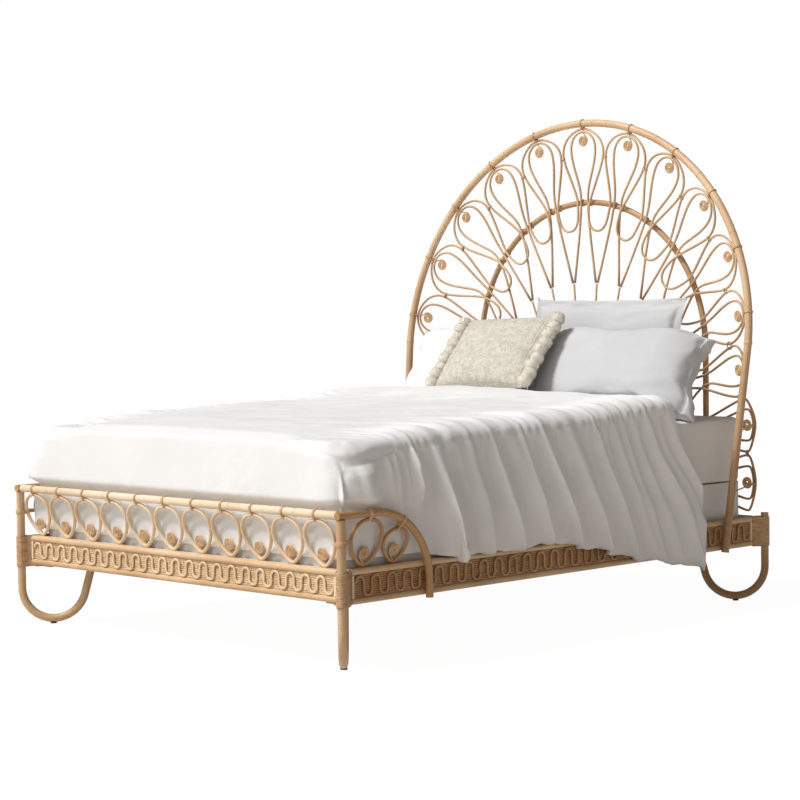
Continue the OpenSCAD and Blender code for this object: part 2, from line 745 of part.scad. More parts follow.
module insert() difference() {
    cylinder(h = insert_l - 2, d = insert_d, $fn = 32);
    translate([0, 0, -1]) cylinder(h = insert_l, d = bolt_d + seat_gap, $fn = 32);
}

module pole_bolts() color(steel) mirrored_x() for (p = pole_bolt_places)
    translate([inner_x, p[0], p[1]]) rotate([0, 90, 0]) {
        cylinder(h = p[2] + 3 - inner_x, d = bolt_d, $fn = 32);
        translate([0, 0, -bolt_head_t]) difference() {
            cylinder(h = bolt_head_t, d = bolt_head_d, $fn = 32);
            translate([0, 0, -1]) cylinder(h = 4, d = 6, $fn = 6);
        }
    }

module inner_arch() color(rattan_dark) difference() {
    union() {
        translate([0, inner_y_axis, inner_spring_z]) rotate([90, 0, 0])
            rotate_extrude(angle = 180, $fn = 2 * bend_fn) translate([inner_r, 0])
                circle(d = inner_d, $fn = pole_fn);
        mirrored_x() translate([inner_r, inner_y_axis, apron_top])
            cylinder(h = inner_spring_z - apron_top, d = inner_d, $fn = pole_fn);
    }
    for (m = [-1, 1]) arch_dowel(m, arch_dowel_d + 2 * seat_gap, 1);
}

arch_dowel_d = dowel_d - 2;
arch_dowel_y = board_y - arch_dowel_d / 2 - 3;
arch_dowel_half = 25;

module arch_dowel(m, d, extra) {
    translate([m * inner_r, arch_dowel_y, apron_top - arch_dowel_half - extra])
        cylinder(h = 2 * (arch_dowel_half + extra), d = d, $fn = 24);
}

module arch_dowels() color("tan") for (m = [-1, 1]) arch_dowel(m, arch_dowel_d, 0);

module hub_arch() color(rattan_dark) {
    y = reed_y + reed_d / 2 + cane_gap + hub_d / 2;
    translate([0, y, hub_z]) rotate([90, 0, 0])
        rotate_extrude(angle = 180, $fn = bend_fn) translate([hub_r, 0]) circle(d = hub_d, $fn = 32);
    mirrored_x() translate([hub_r, y, apron_top]) cylinder(h = hub_z - apron_top, d = hub_d, $fn = 32);
}

// Petal lines. Index i counts petals from the top, negative to the left; it may be a fraction.
// Up to the fifth petal the lines start on the outer arch, below that they swing back behind it.
side_start = 5;
function side_step(i) = max(abs(i) - side_start, 0);
function outer_line(i) =
    let (a = min(abs(i), side_start) * petal_step, n = side_step(i), w = clamp((n - 0.5) / 1.5, 0, 1),
         top = lean_point(arch_r * sin(a), arch_spring + arch_r * cos(a)),
         z = top[2] - side_pitch * n - side_growth * n * n,
         s = lean_s(z), on = n > 0 ? lean_point(arch_x(s), s) : top,
         back = [face_x + 15, reed_y + 5, z], p = mix(on, back, smooth(w)))
    [sign(i) * p[0], p[1], p[2]];
function inner_line(i) =
    let (a = min(abs(i), side_start) * petal_step,
         z = inner_spring_z + inner_r * cos(a) - inner_pitch * side_step(i),
             up = max(z - inner_spring_z, 0))
    [sign(i) * sqrt(inner_r * inner_r - up * up), reed_y, z];
// Point at distance a inwards from the outer line, along the line of index i
function petal_point(i, a) =
    let (from = outer_line(i), to = inner_line(i), turn = min(abs(i) * petal_step, 90))
    a <= petal_span ? mix(from, to, a / petal_span)
    : to + (a - petal_span) * [-sign(i) * sin(turn), 0, -cos(turn)];
// Half the distance between the lines i - 0.5 and i + 0.5, a inwards
function half_pitch(i, a) = norm(petal_point(i + 0.5, a) - petal_point(i - 0.5, a)) / 2;
// Side petals are blunter: their widest place lies nearer the tip
function petal_depth(i, a) =
    let (k = clamp((abs(i) - 5.5) / 1.5, 0, 1), squat = a < 32 ? a : a < 118 ? 32 + (a - 32) * 0.35
        : 62 + (a - 118) * (petal_span - 62) / (petal_span - 118))
    a > petal_span ? a : mix(a, squat, k);

// Profiles: [distance in from the outer arch, share of the half pitch, distance forward of the petal's
// plane]
tip_a = arch_d / 2 + reed_d / 2 + cane_gap;
loop_end_a = petal_span + 107;
lift = reed_d + 0.7;
outer_profile = [
    [tip_a + 5, 0.32, 0], [tip_a + 30, 0.75, 0], [tip_a + 66, 0.965, 0], [118, 1, 0], [165, 0.87, 0],
        [225, 0.62, 0],
    [petal_span - 8, 0.39, 0.35 * lift], [petal_span + 16, 0.36, lift], [petal_span + 60, 0.37, lift],
    [petal_span + 90, 0.5, lift], [loop_end_a, 0.82, lift]
];
inner_tip_a = tip_a + reed_d + 1.6;
inner_profile = [
    [inner_tip_a + 7, 0.3, 0], [inner_tip_a + 34, 0.54, 0], [100, 0.6, 0], [150, 0.53, 0], [215, 0.3, 0],
    [petal_span, 0.1, 0]
];

function petal_side(i, side, p) =
    let (a = petal_depth(i, p[0]), half = half_pitch(i, a), reach = (half - reed_d / 2 - 0.3) * p[1])
    petal_point(i + side * reach / (2 * half), a) - [0, p[2], 0];

module outer_petal(i) {
    end_gap = 0.15;
    ends = [
        for (side = [-1, 1])
            petal_point(i + side * (0.5 - end_gap / half_pitch(i, loop_end_a)), loop_end_a) - [0, lift, 0]
    ];
    reed(concat(
        [ends[0]],
        [for (k = [len(outer_profile) - 1:-1:0]) petal_side(i, -1, outer_profile[k])],
        [petal_point(i, tip_a)],
        [for (p = outer_profile) petal_side(i, 1, p)],
        [ends[1]]
    ), reed_d);
}

hub_point = [0, reed_y, hub_z];
function spoke_tip(i) =
    let (mid = inner_line(i), share = 0.7 + 0.016 * abs(i))
    hub_point + share * (mid - hub_point);

// Just above the spoke's top, beside its middle line
function spoke_end(i, side) =
    let (tip = spoke_tip(i), out = unit(tip - hub_point), across = [out[2], 0, -out[0]])
    tip + out * 3 + across * side * (reed_d / 2 + 0.5);

module inner_petal(i) {
    reed(concat(
        [spoke_end(i - 0.5, 1)],
        [for (k = [len(inner_profile) - 1:-1:0]) petal_side(i, -1, inner_profile[k])],
        [petal_point(i, inner_tip_a)],
        [for (p = inner_profile) petal_side(i, 1, p)],
        [spoke_end(i + 0.5, -1)]
    ), reed_d);
}

module petal_reeds_outer() color(rattan) for (i = [-petal_last:petal_last]) outer_petal(i);
module petal_reeds_inner() color(rattan) for (i = [-petal_last:petal_last]) inner_petal(i);

module spoke_stems() color(rattan) for (i = [-petal_last - 0.5:petal_last + 0.5]) {
    tip = spoke_tip(i);
    out = unit(tip - hub_point);
    length = norm(tip - hub_point) - hub_r + hub_d / 2 - 1.5;
    translate(hub_point) rotate([0, atan2(out[0], out[2]), 0])
        translate([0, 0, hub_r - hub_d / 2]) cylinder(h = length, d = reed_d, $fn = 24);
}

module petal_spirals() color(rattan) for (i = [-petal_last:petal_last]) {
    from = petal_point(i, inner_tip_a);
    centre = petal_point(i, inner_tip_a + reed_d / 2 + 10 + spiral_d / 2);
    out = unit(from - centre);
    translate(centre) rotate([0, atan2(out[0], out[2]), 0]) rotate([-asin(out[1]), 0, 0]) {
        rotate([90, 0, 0]) spiral_disc(spiral_d, 5);
        translate([0, 0, spiral_d / 2 - 3])
            cylinder(h = norm(from - centre) - spiral_d / 2 + 3 - reed_d / 2 - 3 * cane_gap, d = 4,
                $fn = 24);
    }
}

// Bands round the outer arch and the tips of both reeds
module arch_ties() color(rattan_dark) for (i = [-side_start:side_start]) {
    a = i * petal_step;
    along = unit(inner_line(i) - outer_line(i));
    tilt = asin(along * [0, cos(arch_lean), -sin(arch_lean)]);
    lean_frame() translate([arch_r * sin(a), 0, arch_spring + arch_r * cos(a)]) rotate([0, a, 0])
        rotate([tilt, 0, 0]) rotate([0, 90, 0]) band(arch_d, tip_a, 7, reed_d + 3.2);
}

// Rings of cane on the inner arch beside each pair of inner reeds
module inner_arch_ties() color(rattan_dark) for (i = [-petal_last:petal_last], side = [-1, 1]) {
    place = inner_line(i + side * 0.125);
    a = sign(place[0]) * acos(max(place[2] - inner_spring_z, 0) / inner_r);
    translate([place[0], inner_y_axis, place[2]]) rotate([0, a, 0]) rotate([0, 90, 0])
        ring(inner_d, 1.6, 5);
}

// Cane round the pair of outer reeds where neighbouring petals meet
module shoulder_ties() color(rattan_dark) for (i = [-petal_last + 0.5:petal_last - 0.5]) {
    a = petal_depth(i, 118);
    at = petal_point(i, a);
    along = unit(petal_point(i, a - 10) - petal_point(i, a + 10));
    gap = reed_d + 1.2;
    room = abs(i) > side_start && abs(i) < side_start + 2 ? 4 : 1.2;
    translate(at) rotate([0, atan2(along[0], along[2]), 0]) rotate([-asin(along[1]), 0, 0])
        translate([-gap / 2, 0, 0]) linear_extrude(height = 6, center = true) difference() {
            wrap_2d(reed_d / 2 + room + cane_wall, reed_d / 2 + room + cane_wall - 0.01, gap);
            for (x = [0, gap]) translate([x, 0]) circle(d = reed_d + 2 * room, $fn = 32);
        }
}

stay_d = 5;

// Straight canes from the side petals forward to the outer arch's legs
module arch_stays() color(rattan_dark) for (i = [-petal_last:petal_last]) if (abs(i) > side_start) {
    tip = petal_point(i, tip_a);
    z = tip[2];
    s = lean_s(z - 20);
    pole = lean_point(sign(i) * arch_x(s), s);
    along = tip - pole;
    length = norm(along);
    pole_along = unit(lean_point(sign(i) * arch_x(s + 5), s + 5) - lean_point(sign(i) * arch_x(s - 5),
        s - 5));
    skew = norm(cross(pole_along, along)) / length;
    start = (arch_d / 2 + cane_gap + stay_d / 2 * sqrt(1 - skew * skew)) / skew;
    translate(pole) rotate([0, 0, atan2(along[1], along[0])]) rotate([0, 90 - asin(along[2] / length), 0])
        translate([0, 0, start]) cylinder(h = length - start - reed_d / 2 - 0.5, d = stay_d, $fn = 24);
}

// Slat base

module slat_ledgers() color("tan") mirrored_x() difference() {
    half = inner_y - plate_leg - 2;
    translate([inner_x - ledger_s, -half, slat_seat_z - ledger_s]) cube([ledger_s, 2 * half, ledger_s]);
    slat_screw_holes(4.4);
}

slat_y = [
    for (k = [0:slat_count - 1])
        let (reach = column_y - 4 - slat_w / 2)
        slat_count > 1 ? -reach + 2 * reach * k / (slat_count - 1) : 0
];
slat_screw_x = inner_x - ledger_s / 2;

module slat_screw_holes(d) {
    for (y = slat_y, m = [-1, 1]) translate([m * slat_screw_x, y, slat_seat_z - 13])
        cylinder(h = slat_t + 14, d = d, $fn = 24);
}

module slats() color("wheat") difference() {
    for (y = slat_y) translate([-inner_x + 0.5, y - slat_w / 2, slat_seat_z])
        cube([2 * inner_x - 1, slat_w, slat_t]);
    slat_screw_holes(4.4);
    for (y = slat_y, m = [-1, 1]) translate([m * slat_screw_x, y, slat_seat_z + slat_t - 3])
        cylinder(h = 4, d = 8.4, $fn = 24);
}

module slat_screws() color(steel) {
    for (y = slat_y, m = [-1, 1]) translate([m * slat_screw_x, y, slat_seat_z - 12]) {
        cylinder(h = slat_t + 12 - 0.2, d = 4, $fn = 24);
        translate([0, 0, slat_t + 12 - 3]) cylinder(h = 2.8, d = 8, $fn = 24);
    }
    for (side = [-1, 1]) hanger_screws(side, 0);
}

beam_end = inner_y - steel_t - 1;

module center_beam() color(steel) difference() {
    translate([-beam_w / 2, -beam_end, slat_seat_z - beam_h]) cube([beam_w, 2 * beam_end, beam_h]);
    translate([-beam_w / 2 + steel_t, -beam_end - 1, slat_seat_z - beam_h + steel_t])
        cube([beam_w - 2 * steel_t, 2 * beam_end + 2, beam_h - 2 * steel_t]);
}

hanger_w = 50;
hanger_ear = 22;

// Folded hanger: plate on the board, floor and two cheeks round the beam's end
module beam_hangers() color("gray") mirrored_y() difference() {
    low = slat_seat_z - beam_h - seat_gap - steel_t;
    cheek = beam_w / 2 + seat_gap;
    translate([0, inner_y, low]) {
        translate([-cheek - hanger_ear, -steel_t, 0])
            cube([2 * (cheek + hanger_ear), steel_t, beam_h + steel_t]);
        translate([-cheek - steel_t, -hanger_w, 0]) cube([2 * (cheek + steel_t), hanger_w, steel_t]);
        for (m = [0, 1]) mirror([m, 0, 0]) translate([cheek, -hanger_w, 0])
            cube([steel_t, hanger_w, beam_h]);
    }
    hanger_screws(1, 0.4);
}

module hanger_screws(side, room) {
    for (m = [-1, 1]) translate([m * (beam_w / 2 + seat_gap + 13), side * (inner_y - steel_t),
        slat_seat_z - beam_h / 2])
        rotate([side * -90, 0, 0]) {
            translate([0, 0, -0.2]) cylinder(h = 16 + room, d = 4 + room, $fn = 24);
            translate([0, 0, -2.2]) cylinder(h = 2.2, d = 8 + room, $fn = 24);
        }
}

// Mattress and foundation

module rounded_plan(w, l, r) {
    square([w - 2 * r, l], center = true);
    square([w, l - 2 * r], center = true);
    for (x = [-1, 1], y = [-1, 1]) translate([x * (w / 2 - r), y * (l / 2 - r)]) circle(r = r, $fn = 64);
}

module foundation() color("gainsboro") translate([0, 0, foundation_z])
    linear_extrude(height = foundation_h) rounded_plan(mattress_w, mattress_l, mattress_corner_r);

// Rounded box built of stacked rings: [height share, inset]
mattress_rings = [[0, 8], [0.04, 1.5], [0.12, 0], [0.88, 0], [0.96, 4], [1, 14]];
corner_steps = 5;
function mattress_ring(inset) = [
    for (q = [0:3], k = [0:corner_steps])
        let (a = q * 90 + k * 90 / corner_steps, r = mattress_corner_r - inset,
             sx = (q == 0 || q == 3) ? 1 : -1, sy = q < 2 ? 1 : -1)
        [sx * (mattress_w / 2 - mattress_corner_r) + r * cos(a),
            sy * (mattress_l / 2 - mattress_corner_r) + r * sin(a)]
];

module mattress() color(linen) {
    n = 4 * (corner_steps + 1);
    m = len(mattress_rings);
    points = [
        for (r = mattress_rings, p = mattress_ring(r[1])) [p[0], p[1], mattress_z + r[0] * mattress_h]
    ];
    skin = [
        for (j = [0:m - 2], k = [0:n - 1])
            let (a = j * n + k, b = j * n + (k + 1) % n)
            each [[a, b + n, b], [a, a + n, b + n]]
    ];
    caps = [for (k = [1:n - 2]) each [[0, k, k + 1], [(m - 1) * n, (m - 1) * n + k + 1, (m - 1) * n + k]]];
    polyhedron(points = points, faces = concat(skin, caps), convexity = 4);
}

// Duvet: cross-sections along the bed, each a closed line of an outer and an inner skin

duvet_tuck = 15;
duvet_head_gap = 410;
duvet_foot_y = -mattress_l / 2 - duvet_tuck;
duvet_head_y = mattress_l / 2 - duvet_head_gap;
// Height of the hem along the bed: tucked in up to the arm, over the apron after it, lowest at the head
hem_line = [
    [duvet_foot_y - 9, apron_top + 25], [arm_end_y - 6, apron_top + 20], [arm_end_y + 64, apron_top + 4],
    [arm_end_y + 104, apron_top - 8], [arm_end_y + 210, apron_top - 5], [duvet_head_y - 705, apron_top - 4],
    [duvet_head_y - 501, apron_top - 42], [duvet_head_y - 262, apron_top - 101],
        [duvet_head_y + 14, apron_top - 175]
];
// Height of the top along the bed
top_line = [
    [duvet_foot_y - 9, mattress_top - 34], [duvet_foot_y + 11, mattress_top - 6],
        [duvet_foot_y + 46, mattress_top + 18],
    [duvet_foot_y + 216, mattress_top + 38], [duvet_foot_y + 721, mattress_top + 52],
    [duvet_head_y - 415, mattress_top + 68], [duvet_head_y - 166, duvet_head_z]
];
duvet_stations = 33;

function duvet_y(j) =
    j == 0 ? duvet_foot_y
    : j == 1 ? -mattress_l / 2 - soft_gap - 0.3
    : mix(-mattress_l / 2 - soft_gap + 0.1, duvet_head_y, (j - 2) / (duvet_stations - 3));
function side_swing(y) = smooth(clamp((y + leg_y - arm_reach - 22) / 40, 0, 1));
function fold_wave(y) = 10 * sin(y * 1.9) + 5 * sin(y * 4.3 + 40);

// Outer skin of the right half at station y: h runs from 0 at the hem to 1 at the mattress edge
function drape_x(y, h, wall) =
    let (swing = side_swing(y), tucked = mattress_w / 2 + soft_gap + wall,
         hung_low = duvet_reach - fold_room - duvet_wall + wall + (wall > 1 ? fold_wave(y) * (1 - h) : 0),
         hung = h < 0.45 ? hung_low : mix(hung_low, tucked, smooth((h - 0.45) / 0.55)))
    min(mix(tucked, hung, swing), duvet_reach);

duvet_wall = 16;
fold_room = 20;
side_heights = [0, 0.18, 0.36, 0.52, 0.68, 0.84, 1];

function duvet_half(y) =
    let (hem = lookup(y, hem_line), top = lookup(y, top_line), edge = mattress_top - 20)
    concat(
        [for (h = side_heights) [drape_x(y, h, duvet_wall), mix(hem, edge, h)]],
        [[mattress_w / 2 - 4, mix(mattress_top, top, 0.72)], [mattress_w / 2 - 50, top]]
    );
// The inner skin follows the mattress; across the foot wall it drops to the hem
function duvet_half_inner(y) =
    let (hem = lookup(y, hem_line), edge = mattress_top - 16, n = len(side_heights))
    y < -mattress_l / 2 - soft_gap
    ? [for (k = [0:n]) [mix(mattress_w / 2 + soft_gap, 60, k / n), hem]]
    : concat(
        [for (h = side_heights) [drape_x(y, h, 0), mix(hem, edge, h)]],
        [[mattress_w / 2 - 3, mattress_top + soft_gap]]
    );
// Sides of the head end reach further up the bed than its middle
function duvet_shift(y, x, z) =
    y < duvet_foot_y + 1 ? -9 * clamp((z - hem_line[0][1]) / 110, 0, 1)
    : 100 * smooth(clamp((y - duvet_head_y + 300) / 300, 0, 1)) * clamp((mattress_top - 20 - z) / 350, 0,
        1);

function mirror_line(line) = [for (k = [len(line) - 1:-1:0]) [-line[k][0], line[k][1]]];

function duvet_section(y) =
    let (outer = duvet_half(y), inner = duvet_half_inner(y))
    concat(outer, mirror_line(outer), [for (p = inner) [-p[0], p[1]]],
        [for (k = [len(inner) - 1:-1:0]) inner[k]]);

module duvet() color(linen) {
    sections = [
        for (j = [0:duvet_stations - 1])
            let (y = duvet_y(j))
            [for (p = duvet_section(y)) [p[0], y + duvet_shift(y, p[0], p[1]), p[1]]]
    ];
    n = len(sections[0]);
    m = duvet_stations;
    half = len(duvet_half(0));
    inner_count = len(duvet_half_inner(0));
    skin = [
        for (j = [0:m - 2], k = [0:n - 1])
            let (a = j * n + k, b = j * n + (k + 1) % n)
            each [[a, b, b + n], [a, b + n, a + n]]
    ];
    caps = [for (cap = duvet_cap(half, inner_count, n)) each [[cap[0], cap[2], cap[1]],
        [cap[0] + (m - 1) * n, cap[1] + (m - 1) * n, cap[2] + (m - 1) * n]]];
    polyhedron(points = [for (s = sections) each s], faces = concat(skin, caps), convexity = 10);
}

// Triangles that close one end: strips between the outer and the inner line
function duvet_cap(half, inner_count, n) =
    let (low = inner_count - 1)
    concat(
        // right side, from the hem up
        [for (k = [0:low - 1]) each [[k, k + 1, n - 1 - k], [k + 1, n - 2 - k, n - 1 - k]]],
        [[low, half - 1, n - 1 - low]],
        // across the top
        [[half - 1, half, n - 1 - low], [half, 2 * half + low, n - 1 - low]],
        // left side
        [[half, 2 * half - 1 - low, 2 * half + low]],
        [for (k = [0:low - 1]) each [
            [2 * half - 2 - k, 2 * half - 1 - k, 2 * half + k],
            [2 * half - 2 - k, 2 * half + k, 2 * half + 1 + k]
        ]]
    );

// Pillows: a front and a back sheet over a grid, drawn in along their sides, full in the middle

grid_u = 14;
grid_v = 10;
function swell(k, n) = sin(90 * (2 * k / n - 1));
function pillow_point(u, v, face, w, h, t, edge, draw) = [
    w / 2 * u * (1 - draw * (1 - v * v) * u * u),
    face * (edge / 2 + (t - edge) / 2 * pow(max(0, (1 - u * u) * (1 - v * v)), 0.42)),
    h / 2 * v * (1 - draw * 1.6 * (1 - u * u) * v * v)
];
function pillow_points(w, h, t, edge, draw) = [
    for (face = [-1, 1], i = [0:grid_u], j = [0:grid_v])
        pillow_point(swell(i, grid_u), swell(j, grid_v), face, w, h, t, edge, draw)
];
function grid_index(face, i, j) = (face * (grid_u + 1) + i) * (grid_v + 1) + j;
function pillow_faces() = concat(
    [for (i = [0:grid_u - 1], j = [0:grid_v - 1]) each [
        [grid_index(0, i, j), grid_index(0, i, j + 1), grid_index(0, i + 1, j + 1)],
        [grid_index(0, i, j), grid_index(0, i + 1, j + 1), grid_index(0, i + 1, j)],
        [grid_index(1, i, j), grid_index(1, i + 1, j + 1), grid_index(1, i, j + 1)],
        [grid_index(1, i, j), grid_index(1, i + 1, j), grid_index(1, i + 1, j + 1)]
    ]],
    [for (i = [0:grid_u - 1], j = [0, grid_v])
        let (a = grid_index(0, i, j), b = grid_index(0, i + 1, j), c = grid_index(1, i + 1, j),
            e = grid_index(1, i, j))
        each (j == 0 ? [[a, b, c], [a, c, e]] : [[a, c, b], [a, e, c]])],
    [for (j = [0:grid_v - 1], i = [0, grid_u])
        let (a = grid_index(0, i, j), b = grid_index(0, i, j + 1), c = grid_index(1, i, j + 1),
            e = grid_index(1, i, j))
        each (i == 0 ? [[a, c, b], [a, e, c]] : [[a, b, c], [a, c, e]])]
);

// Turns points by `lean` about X, backwards, then by `roll` about the cushion's own face, and sets the
// lowest at `foot`
function turned(points, lean, roll) = [
    for (p = points)
        let (x = p[0] * cos(roll) - p[2] * sin(roll), z = p[0] * sin(roll) + p[2] * cos(roll))
        [x, p[1] * cos(lean) + z * sin(lean), z * cos(lean) - p[1] * sin(lean)]
];
function seated(points, x, y, foot) =
    let (low = min([for (p = points) p[2]]))
    [for (p = points) p + [x, y, foot - low]];

pillow_lean = 32;
pillow_seam = 8;
// Places of the loose pieces: distance right of the bed's middle, distance from the mattress's head end
right_pillow_x = 372;
left_pillow_x = -384;
pillow_back = 262;
sham_lean = 12;
sham_seam = 5;
sham_x = 168;
sham_back = 88;
cushion_lean = 42;
cushion_roll = 2;
cushion_x = -110;
cushion_back = 383.6;
pillow_form = turned(pillow_points(pillow_w, pillow_h, pillow_t, pillow_seam, 0.035), pillow_lean, 0);
front_pillow_points = seated(pillow_form, right_pillow_x, mattress_l / 2 - pillow_back, mattress_top +
    soft_gap);
left_pillow_points = seated(pillow_form, left_pillow_x, mattress_l / 2 - pillow_back, mattress_top +
    soft_gap);
sham_points = seated(turned(pillow_points(sham_w, sham_h, sham_t, sham_seam, 0.02), sham_lean, 0),
    sham_x, mattress_l / 2 - sham_back, mattress_top + soft_gap);
cushion_at = [cushion_x, mattress_l / 2 - cushion_back, duvet_head_z + soft_gap];
cushion_points = seated(turned(pillow_points(cushion_w, cushion_h, cushion_t, 8, 0.04), cushion_lean,
    cushion_roll),
    cushion_at[0], cushion_at[1], cushion_at[2]);

module stuffed(points) polyhedron(points = points, faces = pillow_faces(), convexity = 4);

module front_pillow() color(linen) stuffed(front_pillow_points);
module left_pillow() color(linen) stuffed(left_pillow_points);
module rear_sham() color(linen) stuffed(sham_points);
module cushion() color("beige") stuffed(cushion_points);

// Middle of the cushion's seam at its right (1) or left (0) end and row j
function seam(side, j) =
    (cushion_points[grid_index(0, side * grid_u, j)] + cushion_points[grid_index(1, side * grid_u, j)]) / 2;
function seam_at(side, k) =
    let (f = (asin(2 * k - 1) / 90 + 1) / 2 * grid_v, j = min(floor(f), grid_v - 1))
    mix(seam(side, j), seam(side, j + 1), f - j);

pompom_count = 9;

module pompoms() color("ivory") {
    out = unit(seam(1, grid_v / 2) - seam(0, grid_v / 2));
    for (side = [0, 1], k = [0:pompom_count - 1])
        translate(seam_at(side, (k + 0.5) / pompom_count) + (2 * side - 1) * out * (pompom_d / 2 +
            soft_gap))
            sphere(d = pompom_d, $fn = 48);
}

foot_apron();
head_apron();
side_apron_left();
side_apron_right();
foot_weave();
head_weave();
side_weave_left();
side_weave_right();
foot_wave_reed();
side_wave_reed_left();
side_wave_reed_right();
apron_upper_trims();
apron_lower_trims();
apron_end_strips();
corner_stiles();
corner_leg_front_left();
corner_leg_front_right();
corner_leg_rear_left();
corner_leg_rear_right();
leg_glides();
corner_blocks();
corner_plates();
corner_bolts();
leg_screws();
corner_bindings();
foot_rail();
arm_left();
arm_right();
rail_dowels();
foot_loops();
wing_loops();
foot_spirals();
foot_ties();
headboard_arch();
inner_arch();
hub_arch();
petal_reeds_outer();
petal_reeds_inner();
spoke_stems();
petal_spirals();
arch_ties();
inner_arch_ties();
shoulder_ties();
arch_stays();
pole_bolts();
threaded_inserts();
arch_dowels();
slat_ledgers();
center_beam();
beam_hangers();
slats();
slat_screws();
foundation();
mattress();
duvet();
rear_sham();
left_pillow();
front_pillow();
cushion();
pompoms();
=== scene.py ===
import math
import random

import bmesh
import bpy
import numpy as np
from mathutils import Matrix, Vector, noise


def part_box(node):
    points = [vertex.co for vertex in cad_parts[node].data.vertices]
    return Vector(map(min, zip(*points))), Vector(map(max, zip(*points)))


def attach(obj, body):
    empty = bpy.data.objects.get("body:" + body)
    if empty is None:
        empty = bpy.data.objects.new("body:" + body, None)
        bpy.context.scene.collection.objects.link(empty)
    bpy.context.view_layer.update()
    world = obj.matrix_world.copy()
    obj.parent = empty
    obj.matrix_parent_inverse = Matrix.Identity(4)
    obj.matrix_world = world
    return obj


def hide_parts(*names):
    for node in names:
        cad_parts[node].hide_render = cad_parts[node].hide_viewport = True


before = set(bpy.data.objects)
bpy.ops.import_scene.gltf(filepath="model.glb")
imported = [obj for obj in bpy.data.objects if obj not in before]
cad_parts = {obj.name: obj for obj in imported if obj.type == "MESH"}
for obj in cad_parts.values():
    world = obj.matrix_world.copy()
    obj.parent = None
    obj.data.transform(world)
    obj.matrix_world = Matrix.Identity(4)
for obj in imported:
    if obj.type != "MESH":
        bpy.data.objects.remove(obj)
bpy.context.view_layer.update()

SEED = 7
MERGE = 0.00002

# The camera, fitted to the photograph's straight lines
CAMERA_PLACE = Vector((5.45, -5.45, 1.1))
CAMERA_YAW = math.radians(45)
CAMERA_PITCH = math.radians(2.54)
CAMERA_ROLL = math.radians(0.71)
CAMERA_LENS = 97.3
SENSOR = 36.0

# Mattress and frame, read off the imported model
MATTRESS_LOW, MATTRESS_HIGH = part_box("mattress")
FOUNDATION_LOW, FOUNDATION_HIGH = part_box("foundation")
APRON_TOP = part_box("foot_apron")[1].z
SIDE_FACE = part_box("apron_upper_trims")[1].x
DUVET_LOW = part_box("duvet")[0]
ARM_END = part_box("arm_right")[1].y
POST_X = (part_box("corner_leg_front_right")[1].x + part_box("arm_right")[0].x) / 2
ARM_X = (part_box("arm_right")[0].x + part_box("arm_right")[1].x) / 2
RAIL_Y = (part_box("foot_rail")[0].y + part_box("foot_rail")[1].y) / 2
RAIL_Z = (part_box("foot_rail")[0].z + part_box("foot_rail")[1].z) / 2


def select_only(*objects):
    bpy.ops.object.select_all(action="DESELECT")
    for o in objects:
        o.select_set(True)
    bpy.context.view_layer.objects.active = objects[0]


def edit(piece):
    """Edit mode on one piece, with all of it selected."""
    select_only(piece)
    bpy.ops.object.mode_set(mode="EDIT")
    bpy.ops.mesh.select_all(action="SELECT")


def leave_edit():
    bpy.ops.object.mode_set(mode="OBJECT")


def apply_modifiers(piece):
    select_only(piece)
    for modifier in list(piece.modifiers):
        bpy.ops.object.modifier_apply(modifier=modifier.name)


def subdivide_smooth(piece, levels):
    modifier = piece.modifiers.new("smooth", "SUBSURF")
    modifier.levels = modifier.render_levels = levels
    apply_modifiers(piece)


def node_copy(node, name):
    """A merged copy of a CAD node's mesh, in quads where its triangles pair up."""
    piece = bpy.data.objects.new(name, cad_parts[node].data.copy())
    bpy.context.collection.objects.link(piece)
    piece.data.materials.clear()
    edit(piece)
    bpy.ops.mesh.customdata_custom_splitnormals_clear()
    bpy.ops.mesh.remove_doubles(threshold=MERGE)
    bpy.ops.mesh.tris_convert_to_quads(face_threshold=math.radians(50), shape_threshold=math.radians(50))
    leave_edit()
    return piece


def points_of(piece):
    co = np.zeros(len(piece.data.vertices) * 3, np.float32)
    piece.data.vertices.foreach_get("co", co)
    return co.reshape(-1, 3).astype(float)


def set_points(piece, points):
    piece.data.vertices.foreach_set("co", np.asarray(points, np.float32).ravel())
    piece.data.update()


def loose_parts(node):
    """The vertices of each loose part of a CAD node, as arrays."""
    piece = node_copy(node, "parts")
    bm = bmesh.new()
    bm.from_mesh(piece.data)
    seen, parts = set(), []
    for start in bm.verts:
        if start.index in seen:
            continue
        seen.add(start.index)
        queue, part = [start], []
        while queue:
            v = queue.pop()
            part.append(tuple(v.co))
            for e in v.link_edges:
                other = e.other_vert(v)
                if other.index not in seen:
                    seen.add(other.index)
                    queue.append(other)
        parts.append(np.array(part))
    bm.free()
    bpy.data.objects.remove(piece)
    return parts


def put_on(piece, material):
    piece.data.materials.clear()
    piece.data.materials.append(material)


def round_edges(piece, width, segments, angle=30):
    """Rounds the edges that bend by more than the angle, in degrees."""
    bevel = piece.modifiers.new("round", "BEVEL")
    bevel.width = width
    bevel.segments = segments
    bevel.limit_method = "ANGLE"
    bevel.angle_limit = math.radians(angle)
    apply_modifiers(piece)


def shade_by_angle(piece, angle):
    select_only(piece)
    bpy.ops.object.shade_smooth_by_angle(angle=math.radians(angle))


def finish_piece(piece, material, body="frame", smooth=True):
    put_on(piece, material)
    if smooth:
        select_only(piece)
        bpy.ops.object.shade_smooth()
    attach(piece, body)


